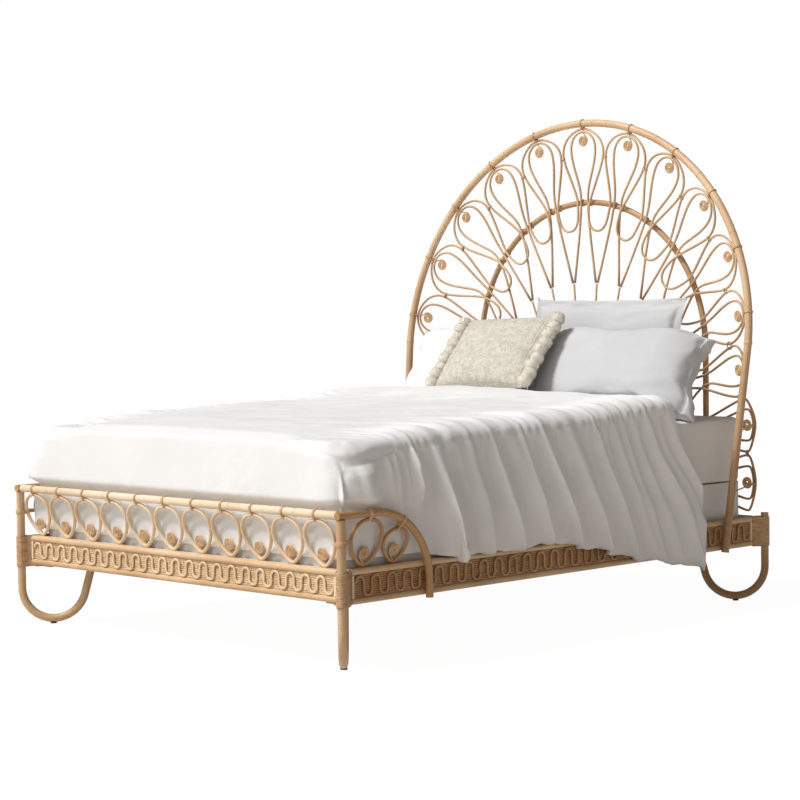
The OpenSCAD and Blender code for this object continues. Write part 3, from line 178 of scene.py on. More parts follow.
def cords(name, paths, radius, resolution=2, cyclic=False):
    """Round canes along lists of points, as one mesh."""
    curve = bpy.data.curves.new(name, "CURVE")
    curve.dimensions = "3D"
    curve.bevel_depth = radius
    curve.bevel_resolution = resolution
    curve.use_fill_caps = True
    for path in paths:
        spline = curve.splines.new("POLY")
        spline.points.add(len(path) - 1)
        places = np.column_stack([path, np.ones(len(path))]).astype(np.float32)
        spline.points.foreach_set("co", places.ravel())
        spline.use_cyclic_u = cyclic
        spline.use_smooth = True
    piece = bpy.data.objects.new(name, curve)
    bpy.context.collection.objects.link(piece)
    select_only(piece)
    bpy.ops.object.convert(target="MESH")
    return bpy.context.object


# Materials


class Socket:
    """An output in a material's tree. Maths on it adds the Math nodes."""

    def __init__(self, finish, link):
        self.finish = finish
        self.link = link

    def _maths(self, operation, first, second):
        return self.finish.node("Math", {"operation": operation}, {0: first, 1: second})

    def __add__(self, other):
        return self._maths("ADD", self, other)

    def __radd__(self, other):
        return self._maths("ADD", other, self)

    def __mul__(self, other):
        return self._maths("MULTIPLY", self, other)

    def __rmul__(self, other):
        return self._maths("MULTIPLY", other, self)

    def above(self, edge, softness):
        """0 below the edge, 1 above it, with a soft step."""
        return self.finish.node(
            "MapRange",
            {"interpolation_type": "SMOOTHSTEP"},
            {"Value": self, "From Min": edge - softness, "From Max": edge + softness},
        )


class Finish:
    """A material under construction."""

    def __init__(self, name, roughness, **shader_values):
        self.material = bpy.data.materials.new(name)
        self.material.use_nodes = True
        self.tree = self.material.node_tree
        self.shader = self.tree.nodes["Principled BSDF"]
        self.shader.inputs["Roughness"].default_value = roughness
        for socket, value in shader_values.items():
            self.shader.inputs[socket.replace("_", " ")].default_value = value
        self.places = self.node("TexCoord", {}, {}, "Object")

    def node(self, kind, settings, sockets, output=0):
        node = self.tree.nodes.new("ShaderNode" + kind)
        for key, value in settings.items():
            setattr(node, key, value)
        for key, value in sockets.items():
            if isinstance(value, Socket):
                self.tree.links.new(value.link, node.inputs[key])
            else:
                node.inputs[key].default_value = value
        return Socket(self, node.outputs[output])

    def noise(self, scale, detail=3.0, stretch=(1, 1, 1), distortion=0.0):
        moved = self.node("Mapping", {}, {"Vector": self.places, "Scale": stretch})
        sockets = {"Vector": moved, "Scale": scale, "Detail": detail, "Distortion": distortion}
        return self.node("TexNoise", {}, sockets)

    def mix(self, factor, first, second):
        """Colour mix; colours are linear RGB triples or sockets."""
        colours = [c if isinstance(c, Socket) else (*c, 1) for c in (first, second)]
        return self.node("Mix", {"data_type": "RGBA"}, {0: factor, 6: colours[0], 7: colours[1]}, 2)

    def colour(self, value):
        self.tree.links.new(value.link, self.shader.inputs["Base Color"])

    def rough(self, value):
        self.tree.links.new(value.link, self.shader.inputs["Roughness"])

    def bump(self, height, distance, strength=1.0):
        sockets = {"Height": height, "Distance": distance, "Strength": strength}
        bumped = self.node("Bump", {}, sockets, "Normal")
        self.tree.links.new(bumped.link, self.shader.inputs["Normal"])
        return self.material


# Tones, each a light and a dark one, the painted shade of the headboard's lower part, and the height
# over which that shade fades in
RATTAN = (0.79, 0.58, 0.37), (0.66, 0.43, 0.24)
RATTAN_REED = (0.74, 0.52, 0.31), (0.56, 0.35, 0.18)
PAINTED_SHADE_RATTAN = (0.5, 0.3, 0.145), (0.38, 0.21, 0.095)
PAINTED_SHADE_BLEND = 0.4


def rattan_finish(name, light, dark, painted_shade_below=None):
    """Peeled rattan: soft blotches, darker flecks and fine fibres.
    On the headboard, painted shade darkens it toward its foot."""
    f = Finish(name, 0.42, Specular_IOR_Level=0.42)
    blotch = f.noise(5.0, 4.0)
    fleck = f.noise(70.0).above(0.62, 0.06)
    fibre = f.noise(420.0, 2.0)
    tone = f.mix(blotch.above(0.5, 0.22), light, dark)
    if painted_shade_below:
        height = f.node("SeparateXYZ", {}, {"Vector": f.places}, "Z")
        # Painted shade: a darker brown tone that takes over below the given height.
        painted_shade_tone = f.mix(blotch.above(0.5, 0.22), *PAINTED_SHADE_RATTAN)
        tone = f.mix(height.above(painted_shade_below, PAINTED_SHADE_BLEND), painted_shade_tone, tone)
    tone = f.mix(fleck * 0.16, tone, tuple(0.55 * c for c in dark))
    f.colour(f.mix(fibre.above(0.5, 0.2) * 0.16, tone, tuple(0.7 * c for c in dark)))
    f.rough(0.36 + 0.2 * blotch)
    return f.bump(fibre + 0.5 * fleck, 0.0005, 0.5)


def cane_finish(name, light, dark):
    """Split cane of the windings: glossier skin with small shifts of tone from turn to turn."""
    f = Finish(name, 0.38, Specular_IOR_Level=0.45)
    tone = f.mix(f.noise(26.0, 3.0, (1, 1, 3)).above(0.5, 0.25), light, dark)
    f.colour(f.mix(f.noise(160.0, 2.0).above(0.6, 0.1) * 0.3, tone, tuple(0.6 * c for c in dark)))
    return f.bump(f.noise(300.0, 2.0), 0.0004, 0.5)


def wood_finish(name, light, dark):
    """Plain sawn softwood of the hidden frame."""
    f = Finish(name, 0.62)
    grain = f.noise(9.0, 5.0, (1, 0.12, 6), 0.6)
    f.colour(f.mix(grain.above(0.5, 0.18), light, dark))
    return f.bump(grain, 0.0006, 0.4)


def metal_finish(name, tone, roughness):
    f = Finish(name, roughness, Metallic=1.0)
    f.colour(f.mix(f.noise(60.0, 3.0), tone, tuple(0.8 * c for c in tone)))
    return f.bump(f.noise(500.0, 2.0), 0.0002, 0.4)


def rubber_finish(name):
    f = Finish(name, 0.75)
    f.colour(f.mix(f.noise(90.0), (0.03, 0.028, 0.026), (0.06, 0.055, 0.05)))
    return f.bump(f.noise(700.0, 2.0), 0.0003, 0.5)


def linen_finish(name, light, dark, crease=0.0014):
    """Washed linen or cotton: fine thread relief, small soft creases and a faint shift of tone."""
    f = Finish(name, 0.88, Specular_IOR_Level=0.25, Sheen_Weight=0.18, Sheen_Roughness=0.5)
    crumple = f.noise(16.0, 5.0, distortion=0.8)
    thread = f.noise(900.0, 2.0)
    f.colour(f.mix(f.noise(3.5, 4.0).above(0.5, 0.3), light, dark))
    return f.bump(crumple * crease + thread * 0.00035, 1.0)


def knit_finish(name, light, dark, grain=150.0):
    """Loose wool yarn, with darker specks painted in as shade between its loops."""
    f = Finish(name, 0.95, Specular_IOR_Level=0.15, Sheen_Weight=0.3)
    fleck = f.noise(grain, 3.0)
    tone = f.mix(f.noise(45.0, 3.0).above(0.5, 0.2), light, dark)
    # Painted shade: darker specks, placed by noise, meant as shade between the loops.
    f.colour(f.mix(fleck.above(0.6, 0.08) * 0.55, tone, tuple(0.55 * c for c in dark)))
    return f.bump(fleck, 0.0012, 0.8)


POLE = rattan_finish("rattan_pole", *RATTAN)
# Painted light: a paler copy of the pole finish for the sunlit foot rail, foot apron and end strips.
LIT_FOOT_POLE = rattan_finish("rattan_pole_foot_painted_light", (0.9, 0.75, 0.56), (0.8, 0.62, 0.42))
# The arch gets painted shade toward its foot.
ARCH_POLE = rattan_finish("rattan_pole_arch", *RATTAN, painted_shade_below=0.75)
# Painted shade: a darker, browner copy of the pole finish for the shaded sides, arms and rear legs.
SHADED_SIDE_POLE = rattan_finish("rattan_pole_side_painted_shade", (0.6, 0.355, 0.17), (0.45, 0.25, 0.105))
REED = rattan_finish("rattan_reed", *RATTAN_REED)
# The petal reeds get painted shade toward their foot.
PETAL_REED = rattan_finish("rattan_reed_petal", *RATTAN_REED, painted_shade_below=0.85)
# Painted light: a paler copy of the reed finish for the sunlit foot loops and foot wave reed.
LIT_FOOT_REED = rattan_finish("rattan_reed_foot_painted_light", (0.87, 0.7, 0.5), (0.74, 0.54, 0.34))
# Painted shade: a darker, browner copy of the reed finish for the shaded side reeds and wing loops.
SHADED_SIDE_REED = rattan_finish("rattan_reed_side_painted_shade", (0.56, 0.33, 0.15), (0.41, 0.22, 0.09))
# Painted shade: a darker copy of the pole finish for the inner arch, which lies in shade behind the
# reeds.
SHADED_INNER_POLE = rattan_finish("rattan_pole_inner_painted_shade", (0.6, 0.38, 0.21), (0.46, 0.26, 0.12))
CANE = cane_finish("split_cane", (0.74, 0.5, 0.28), (0.56, 0.34, 0.17))
DARK_CANE = cane_finish("shaded_cane", (0.5, 0.3, 0.15), (0.36, 0.2, 0.09))
WOVEN = cane_finish("woven_cane", (0.8, 0.6, 0.38), (0.6, 0.4, 0.22))
# Painted shade: a darker, browner copy of the woven cane for the shaded side panels.
SHADED_SIDE_WOVEN = cane_finish("woven_cane_side_painted_shade", (0.48, 0.265, 0.115), (0.33, 0.17, 0.065))
WOOD = wood_finish("frame_wood", (0.62, 0.44, 0.26), (0.5, 0.33, 0.18))
STEEL = metal_finish("zinc_steel", (0.62, 0.62, 0.64), 0.36)
BRASS = metal_finish("insert_brass", (0.72, 0.55, 0.24), 0.34)
RUBBER = rubber_finish("glide_rubber")
DUVET_LINEN = linen_finish("duvet_linen", (0.86, 0.86, 0.86), (0.81, 0.81, 0.81), 0.0016)
PILLOW_COTTON = linen_finish("pillow_cotton", (0.6, 0.605, 0.62), (0.55, 0.555, 0.57), 0.0016)
# Painted light: a paler copy of the pillow cotton for the brightly lit left pillow.
LIT_PILLOW_COTTON = linen_finish("pillow_cotton_painted_light", (0.84, 0.83, 0.835), (0.8, 0.79, 0.795))
SHEET_COTTON = linen_finish("sheet_cotton", (0.8, 0.785, 0.765), (0.75, 0.735, 0.71), 0.0012)
BASE_COVER = linen_finish("foundation_cover", (0.76, 0.745, 0.725), (0.71, 0.695, 0.675), 0.0008)
KNIT = knit_finish("wool_knit", (0.68, 0.64, 0.565), (0.55, 0.51, 0.43))
POMPOM_YARN = knit_finish("pompom_yarn", (0.9, 0.86, 0.78), (0.83, 0.78, 0.68), 320.0)


# Canes and reeds


def smooth_reed(node, name, material, grow):
    """A round, evenly bent reed from the CAD node's six-sided tube. Its ends keep their length."""
    piece = node_copy(node, name)
    edit(piece)
    bpy.ops.transform.shrink_fatten(value=grow)
    bpy.ops.mesh.select_all(action="DESELECT")
    bpy.ops.mesh.edges_select_sharp(sharpness=math.radians(72))
    bpy.ops.transform.edge_crease(value=1)
    leave_edit()
    subdivide_smooth(piece, 2)
    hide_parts(node)
    finish_piece(piece, material)


def hull_2d(points):
    """The convex outline of points in a plane, counterclockwise."""
    ordered = sorted(set(map(tuple, np.round(points, 7))))

    def chain(items):
        line = []
        for p in items:
            while len(line) > 1 and (
                (line[-1][0] - line[-2][0]) * (p[1] - line[-2][1])
                <= (line[-1][1] - line[-2][1]) * (p[0] - line[-2][0])
            ):
                line.pop()
            line.append(p)
        return line[:-1]

    return np.array(chain(ordered) + chain(ordered[::-1]))


def even_points(outline, count):
    """Points at even distances along a closed outline."""
    line = np.vstack([outline, outline[:1]])
    steps = np.r_[0, np.cumsum(np.linalg.norm(np.diff(line, axis=0), axis=1))]
    at = np.linspace(0, steps[-1], count + 1)[:count]
    return np.column_stack([np.interp(at, steps, line[:, k]) for k in range(line.shape[1])])


def sides_of(axis, hint):
    """Two directions square to an axis and to each other. The hint must not lie along the axis."""
    across = np.cross(axis, hint)
    across /= np.linalg.norm(across)
    return across, np.cross(axis, across)


def winding(part, turns, cane_radius, axis=None):
    """A cane wound in `turns` turns over the outline of one CAD band."""
    centre = part.mean(0)
    spread = part - centre
    if axis is None:
        axis = np.linalg.eigh(np.cov(spread.T))[1][:, 0]
    across, third = sides_of(axis, [0.3, 0.5, 0.81])
    outline = even_points(hull_2d(np.column_stack([spread @ across, spread @ third])), 28)
    low, high = (spread @ axis).min() + cane_radius, (spread @ axis).max() - cane_radius
    path = []
    steps = len(outline)
    for k in range(turns * steps + 1):
        u, v = outline[k % steps]
        height = low + (high - low) * k / (turns * steps)
        path.append(centre + across * u + third * v + axis * height)
    return np.array(path)


def windings(node, name, turns, cane_radius, material, axis=None):
    """Wound cane over each band of the CAD node, which keeps showing between the turns."""
    paths = [winding(p, turns, cane_radius, axis) for p in loose_parts(node)]
    piece = cords(name, paths, cane_radius)
    finish_piece(piece, material)


def circle(x, y, radius):
    angles = np.arange(24) * math.pi / 12
    return np.column_stack([x + radius * np.cos(angles), y + radius * np.sin(angles)])


# The ties of the front posts
TIE_Z = 0.39
TIE_CANE = 0.0017
TIE_TURNS = 3
TIE_RISE = 0.0036
POST_RADIUS = 0.0155
LOOP_RADIUS = 0.0062


def make_post_ties():
    """Cane at half height that ties each front post to the loops on both its sides."""
    loops = np.vstack([points_of(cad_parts[n]) for n in ("foot_loops", "wing_loops")])
    near = loops[np.abs(loops[:, 2] - TIE_Z) < 0.012]
    paths = []
    for side in (-1, 1):
        post = np.array([side * POST_X, RAIL_Y])
        here = near[np.linalg.norm(near[:, :2] - post, axis=1) < 0.075]
        for behind in (True, False):
            strand = here[(here[:, 1] > RAIL_Y + 0.03) == behind]
            if not len(strand):
                continue
            spot = strand[:, :2].mean(0)
            both = np.vstack([circle(*post, POST_RADIUS), circle(*spot, LOOP_RADIUS)])
            outline = even_points(hull_2d(both), 30)
            start = TIE_Z - (0.001 if behind else 0.005)
            paths.append(np.array([
                (*outline[k % 30], start + TIE_RISE * k / 30) for k in range(TIE_TURNS * 30 + 1)
            ]))
    finish_piece(cords("post_ties", paths, TIE_CANE), CANE)


SPIRAL_CANE = 0.0029
SPIRAL_TURNS = 3.4
SPIRAL_RADIUS = 0.021
SPIRAL_SWELL = 0.0025
SPIRAL_EYE = 0.0035


def spiral_path(part, side):
    """A cane that comes from the tail's end and winds into the disc of one CAD spiral."""
    normal = np.linalg.eigh(np.cov((part - part.mean(0)).T))[1][:, 0]
    far = part[np.argmax(np.linalg.norm(part - part.mean(0), axis=1))]
    tail = far - part.mean(0)
    tail -= normal * (tail @ normal)
    tail /= np.linalg.norm(tail)
    reach = (part @ tail).max()
    centre = part.mean(0) + tail * ((part @ tail).min() + SPIRAL_RADIUS - part.mean(0) @ tail)
    across = np.cross(normal, tail)
    across *= math.copysign(1, across @ np.array(side))
    tip = centre + tail * (reach - centre @ tail)
    outer = SPIRAL_RADIUS + SPIRAL_SWELL - SPIRAL_CANE
    path = [tip, tip + across * 0.004 - tail * 0.004]
    steps = int(24 * SPIRAL_TURNS)
    for k in range(steps + 1):
        turn = 2 * math.pi * SPIRAL_TURNS * k / steps
        r = outer + (SPIRAL_EYE - outer) * k / steps
        angle = math.radians(35) - turn
        path.append(centre + across * r * math.cos(angle) + tail * r * math.sin(angle))
    return np.array(path)


def foot_side(centre):
    """The way in which a spiral of the footboard turns."""
    return (0, -1, 0) if abs(centre[0]) > 0.77 else (-1, 0, 0)


def petal_side(centre):
    """The way in which a spiral of the headboard turns."""
    return (1, 0, 0) if abs(centre[0]) < 0.7 else (0, 0, -centre[0])


def spirals(node, name, side_of):
    paths = [spiral_path(p, side_of(p.mean(0))) for p in loose_parts(node)]
    piece = cords(name, paths, SPIRAL_CANE)
    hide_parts(node)
    finish_piece(piece, CANE)


STAKE_PITCH = 0.026
WEAVE_DEPTH = 0.0012
CANE_FLATNESS = 0.42


def woven_panel(node, name, rows, outward, material):
    """Flat canes woven over and under hidden stakes, in place of one plain panel."""
    low, high = (np.array(c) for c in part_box(node))
    long_axis = int(np.argmax(high - low))
    out = np.array(outward, float)
    middle = (low + high) / 2
    stakes = int((high[long_axis] - low[long_axis]) / STAKE_PITCH)
    pitch = (high[2] - low[2]) / rows
    paths = []
    for row in range(rows):
        path = []
        for k in range(2 * stakes + 1):
            p = middle.copy()
            p[long_axis] = low[long_axis] + (high[long_axis] - low[long_axis]) * k / (2 * stakes)
            p[2] = low[2] + pitch * (row + 0.5)
            path.append(p + out * WEAVE_DEPTH * math.sin(math.pi * (k / 2 + row)))
        paths.append(np.array(path))
    piece = cords(name, paths, pitch / 2)
    face = int(np.argmax(np.abs(out)))
    points = points_of(piece)
    points[:, face] = middle[face] + (points[:, face] - middle[face]) * CANE_FLATNESS
    set_points(piece, points)
    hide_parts(node)
    finish_piece(piece, material)


def rounded_copy(node, name, material, width):
    """The CAD node with its edges rounded."""
    piece = node_copy(node, name)
    round_edges(piece, width, 3, 50)
    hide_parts(node)
    finish_piece(piece, material, smooth=False)
    shade_by_angle(piece, 40)


def make_frame_reeds():
    for node, material, grow in (
        # The foot loops take the reed finish with painted light.
        ("foot_loops", LIT_FOOT_REED, 0.0032),
        # The wing loops take the reed finish with painted shade.
        ("wing_loops", SHADED_SIDE_REED, 0.0032),
        ("petal_reeds_outer", PETAL_REED, 0.0015),
        ("petal_reeds_inner", PETAL_REED, 0.0015),
    ):
        smooth_reed(node, node + "_round", material, grow)
    for node, material in (
        # The foot's wave reed takes the reed finish with painted light.
        ("foot_wave_reed", LIT_FOOT_REED),
        # The side wave reeds take the reed finish with painted shade.
        ("side_wave_reed_left", SHADED_SIDE_REED),
        ("side_wave_reed_right", SHADED_SIDE_REED),
    ):
        rounded_copy(node, node + "_round", material, 0.0024)
    windings("foot_ties", "foot_tie_windings", 3, 0.0019, CANE)
    windings("arch_ties", "arch_tie_windings", 3, 0.0015, CANE)
    windings("shoulder_ties", "shoulder_tie_windings", 3, 0.0013, CANE)
    windings("inner_arch_ties", "inner_arch_windings", 2, 0.0014, DARK_CANE)
    windings("corner_bindings", "corner_windings", 22, 0.0019, CANE, np.array([0.0, 0, 1]))
    spirals("foot_spirals", "foot_spiral_canes", foot_side)
    spirals("petal_spirals", "petal_spiral_canes", petal_side)
    for node, rows, outward, material in (
        ("foot_weave", 9, (0, -1, 0), WOVEN),
        ("head_weave", 9, (0, 1, 0), WOVEN),
        # The side panels take the woven cane with painted shade.
        ("side_weave_left", 10, (-1, 0, 0), SHADED_SIDE_WOVEN),
        ("side_weave_right", 10, (1, 0, 0), SHADED_SIDE_WOVEN),
    ):
        woven_panel(node, node + "_canes", rows, outward, material)
    make_post_ties()


def dress_nodes():
    """Finishes of the CAD nodes that stay in view."""
    finishes = {
        POLE: "head_apron apron_upper_trims corner_stiles",
        # The front legs take the darker reed tone as painted shade.
        REED: "corner_leg_front_left corner_leg_front_right apron_lower_trims",
        ARCH_POLE: "headboard_arch spoke_stems",
        # The foot rail, foot apron and end strips take the pole finish with painted light.
        LIT_FOOT_POLE: "foot_rail foot_apron apron_end_strips",
        # The arms, side aprons and rear legs take the pole finish with painted shade.
        SHADED_SIDE_POLE: "arm_left arm_right side_apron_left side_apron_right "
        "corner_leg_rear_left corner_leg_rear_right",
        # The inner arch, hub arch and stays take the pole finish with painted shade.
        SHADED_INNER_POLE: "inner_arch hub_arch arch_stays",
        CANE: "foot_ties",
        DARK_CANE: "corner_bindings arch_ties inner_arch_ties shoulder_ties",
        WOOD: "corner_blocks corner_plates rail_dowels arch_dowels slat_ledgers slats",
        STEEL: "corner_bolts leg_screws pole_bolts slat_screws center_beam beam_hangers",
        BRASS: "threaded_inserts",
        RUBBER: "leg_glides",
    }
    for material, names in finishes.items():
        for name in names.split():
            put_on(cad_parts[name], material)


def ring_path(centre, axis, radius):
    centre, axis = np.array(centre, float), np.array(axis, float)
    axis /= np.linalg.norm(axis)
    across, third = sides_of(axis, [0.31, 0.52, 0.79])
    angles = np.arange(28) * 2 * math.pi / 28
    return centre + radius * (np.outer(np.cos(angles), across) + np.outer(np.sin(angles), third))


# The poles' own joints: radii of their rings, and how the headboard's arch lies in its outline
RING_CANE = 0.0007
RAIL_RING = 0.0131
ARM_RING = 0.0121
POLE_RING = 0.0141
ARCH_LEAN = math.radians(7)
ARCH_POLE_RADIUS = 0.014
ARCH_INSET = 0.0157


def make_pole_joints():
    """The raised rings of the rattan's own joints along the poles."""
    rng = random.Random(SEED)
    rings = []
    x = -POST_X + 0.17
    while x < POST_X - 0.1:
        rings.append(ring_path((x, RAIL_Y, RAIL_Z), (1, 0.02, 0.03), RAIL_RING))
        x += 0.3 + 0.05 * rng.random()
    arch_low, arch_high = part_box("headboard_arch")
    radius = (arch_high.x - arch_low.x) / 2 - ARCH_INSET
    right = np.array([1, 0, 0])
    up = np.array([0, math.sin(ARCH_LEAN), math.cos(ARCH_LEAN)])
    top = np.array([0, arch_high.y - ARCH_POLE_RADIUS, arch_high.z - ARCH_POLE_RADIUS])
    middle = top - radius * up
    angle = math.radians(-82)
    while angle < math.radians(86):
        place = middle + radius * (math.sin(angle) * right + math.cos(angle) * up)
        along = math.cos(angle) * right - math.sin(angle) * up
        rings.append(ring_path(place, along, POLE_RING))
        angle += math.radians(17 + 4 * rng.random())
    for side in (-1, 1):
        rings.append(ring_path((side * ARM_X, -0.9, RAIL_Z), (0, 1, 0.02), ARM_RING))
        for end in (-1, 1):
            rings.append(ring_path((side * POST_X, end * -RAIL_Y, 0.145), (0, 0, 1), POLE_RING))
    piece = cords("pole_joint_rings", rings, RING_CANE, 1, cyclic=True)
    finish_piece(piece, CANE)


# Bedding


def grid_mesh(name, patches):
    """One mesh of several grids of points, welded where they meet."""
    pieces = []
    for patch in patches:
        rows, columns = patch.shape[:2]
        bpy.ops.mesh.primitive_grid_add(x_subdivisions=rows - 1, y_subdivisions=columns - 1, size=2)
        piece = bpy.context.object
        flat = points_of(piece)
        i = np.rint((flat[:, 0] + 1) / 2 * (rows - 1)).astype(int)
        j = np.rint((flat[:, 1] + 1) / 2 * (columns - 1)).astype(int)
        set_points(piece, patch[i, j])
        pieces.append(piece)
    select_only(*pieces)
    bpy.ops.object.join()
    piece = pieces[0]
    piece.name = piece.data.name = name
    edit(piece)
    bpy.ops.mesh.remove_doubles(threshold=0.0004)
    bpy.ops.mesh.normals_make_consistent(inside=False)
    leave_edit()
    return piece


def smooth_step(k):
    k = np.clip(k, 0, 1)
    return k * k * (3 - 2 * k)


def ease(k):
    """The same step for one number."""
    return float(smooth_step(k))


# The duvet: heights of its hem and its top along the bed, and where it starts, ends and turns
HEM_LINE = (
    (-1.04, 0.335), (-0.7, 0.33), (-0.63, 0.312), (-0.59, 0.302), (-0.484, 0.305),
    (-0.099, 0.306), (0.105, 0.268), (0.344, 0.209), (0.62, 0.14),
)
TOP_LINE = (
    (-1.04, 0.675), (-0.985, 0.697), (-0.815, 0.712), (-0.31, 0.727), (0.191, 0.743), (0.44, 0.772),
)
DUVET_FOOT = DUVET_LOW.y - 0.002
DUVET_HEAD = 0.606
TUCKED_X = MATTRESS_HIGH.x + 0.0165
DUVET_THICKNESS = 0.012
EDGE_ROUND = 0.07
EDGE_DROP = 0.055
ROLL_START = 0.562
ROLL_RADIUS = 0.042
ROLL_UNDER = MATTRESS_HIGH.z + 0.012
RAIL_TOP = RAIL_Z + 0.013
OVER_RAIL = RAIL_TOP + 0.004
UNDER_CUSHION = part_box("cushion")[0].z - 0.004
HUNG_X = SIDE_FACE + 0.036
LEAST_TUCKED_X = TUCKED_X - 0.002
LEAST_HUNG_X = SIDE_FACE + 0.0145
CROWN = 0.012
SWELL = 0.014
CREASE = 0.008
FINE_CREASE = 0.003

# Its folds, and how it keeps clear of the mattress
FOLD_PITCH = 0.125
PINCH_PITCH = 0.051
FOLD_DEPTH = 0.032
EDGE_FOLD = 0.012
HEAD_SLIP = 0.112
HEAD_CURL = 0.026
HEM_CURL = 0.018
CROSS_FOLD = 0.003
CORNER = 0.075
CORNER_SAG = 0.03
CORNER_SPREAD = 0.03
SIDE_SPREAD = 0.008
END_SPREAD = 0.016
CLEAR = 0.018
TOP_EDGE = 0.014
MATTRESS_ROUND = 0.058
FOUNDATION_ROUND = 0.012


def line_at(line, y):
    return np.interp(y, [p[0] for p in line], [p[1] for p in line])


def wander(x, seed, scale):
    """Smooth noise along one line, about -1 to 1."""
    return 2.2 * noise.noise(Vector((x * scale, seed * 7.3, seed * 1.7)))


def folds(u, seed, low=0.0):
    """Uneven hanging folds along the bed, pinched at the top edge and broad below.
    Gives the height of the ridge and its sideways lean."""
    warped = u + 0.045 * wander(u, seed, 2.6) + 0.01 * wander(u, seed + 2, 8.0)
    phase = 2 * math.pi * warped / FOLD_PITCH
    depth = 0.65 + 0.5 * wander(u, seed + 5, 4.6)
    ridge = math.sin(phase)
    ridge = math.copysign(abs(ridge) ** (0.8 if ridge > 0 else 1.3), ridge)
    crest = 1 - 2 * abs(math.sin(math.pi * warped / PINCH_PITCH))
    pinch = (0.6 + 0.7 * wander(u, seed + 8, 6.0)) * crest
    share = math.sqrt(max(0.0, low))
    height = depth * ridge * (0.45 + 0.55 * share) + pinch * (0.8 - 0.55 * share)
    return height, depth * math.cos(phase)


def out_of_tuck(y):
    return ease((y - ARM_END - 0.02) / 0.05)


def side_wall(side, stations, rows):
    """Hanging side of the duvet, from its rounded top edge to the hem.
    The folds lean toward the head."""
    points = np.zeros((rows, len(stations), 3))
    for j, y in enumerate(stations):
        hem, top = line_at(HEM_LINE, y), line_at(TOP_LINE, y)
        out = out_of_tuck(y)
        late = HEAD_SLIP * ease((y - DUVET_HEAD + 0.3) / 0.3)
        for i in range(rows):
            h = 1 - i / (rows - 1)
            low = 1 - h
            z = hem + (top - EDGE_DROP - hem) * h
            lean = (0.05 + 0.11 * ease((y + 0.6) / 1.1)) * low
            free = max(out, ease((z - 0.43) / 0.12))
            wave, tilt = folds(y - lean * 0.9, 2 + side, low)
            drag = 1 - 3 * abs(noise.noise(Vector((y * 7 + z * 6, z * 2.5 - y * 1.5, 3.0 + side))))
            cross = (wander(y * 0.9 + z * 1.7, 11 + side, 9.0) + 1.6 * drag) * (0.3 + 0.7 * low)
            depth = (EDGE_FOLD + (FOLD_DEPTH - EDGE_FOLD) * low ** 0.6) * free
            depth *= 1 + 0.6 * ease((-0.5 - y) / 0.3)
            share = 1 - ease((h - 0.2) / 0.75)
            x = TUCKED_X + (HUNG_X - TUCKED_X) * out * share + depth * wave
            x += CROSS_FOLD * cross * free
            x += 0.55 * depth * (1 - out * share)
            x -= HEM_CURL * out * ease((0.07 - h) / 0.07) ** 2
            x -= HEAD_CURL * ease((y - DUVET_HEAD + 0.04) / 0.04) ** 2 * (0.4 + 0.6 * low)
            beside_apron = z <= APRON_TOP + 0.02 and out > 0.5
            x = max(x, LEAST_HUNG_X if beside_apron else LEAST_TUCKED_X)
            slip = late * ease((0.66 - z) / 0.3)
            ragged = 0.006 * wander(y, 21 + side, 13.0) + 0.003 * wander(y, 24 + side, 45.0)
            hem_wave = ragged * out * ease((0.3 - h) / 0.3)
            points[i, j] = (side * x, y + slip + 0.45 * depth * tilt * low, z + hem_wave)
    return points


def top_height(x, y):
    """Height of the duvet's top: full in the middle, softly creased."""
    k = min(1.0, abs(x) / TUCKED_X)
    crown = CROWN * (1 - k * k)
    swell = SWELL * math.exp(-(((y - 0.33) / 0.13) ** 2)) * math.exp(-(((x + 0.1) / 0.5) ** 2))
    crease = noise.noise(Vector((x * 2.2 + y * 2.6, (y - x * 0.6) * 9.0, 1.5)))
    fine = 1 - 2 * abs(noise.noise(Vector((x * 4 + y * 5, (y - x * 0.7) * 15.0, 4.5))))
    calm = ease((y - DUVET_FOOT) / 0.25)
    height = line_at(TOP_LINE, y) + crown + swell + calm * (CREASE * crease + FINE_CREASE * fine)
    pressed = ease((y - 0.42) / 0.065)
    return height + pressed * (min(height, UNDER_CUSHION) - height)


def rounding(x):
    """How far a point lies over the duvet's rounded side edge, 0 to 1, and how much it drops there."""
    edge = max(0.0, (abs(x) - (TUCKED_X - EDGE_ROUND)) / EDGE_ROUND)
    return edge, EDGE_DROP * (1 - math.sqrt(max(0.0, 1 - edge * edge)))


def duvet_top(stations, columns, rolls):
    """Top of the duvet, rounded over its sides and rolled under at the head."""
    points = np.zeros((len(columns), len(stations) + rolls, 3))
    for i, x in enumerate(columns):
        edge, drop = rounding(x)
        flat = math.sqrt(max(0.0, 1 - edge * edge))
        reach = ease((abs(x) - 0.5) / (TUCKED_X - EDGE_ROUND - 0.5))
        for j, y in enumerate(stations):
            inward = max(0.0, TUCKED_X - abs(x))
            wave = folds(y + 0.35 * inward, 2 + math.copysign(1, x))[0] * EDGE_FOLD * reach
            z = top_height(x, y) * (1 - edge) + edge * line_at(TOP_LINE, y) - drop
            points[i, j] = (x + math.copysign(wave * edge, x), y, z + wave * flat)
        last = points[i, len(stations) - 1]
        radius = min(ROLL_RADIUS, (last[2] - ROLL_UNDER) / 2)
        for j in range(rolls):
            turn = math.pi * (j + 1) / rolls
            points[i, len(stations) + j] = (
                last[0],
                last[1] + radius * math.sin(turn),
                last[2] - radius * (1 - math.cos(turn)),
            )
    return points


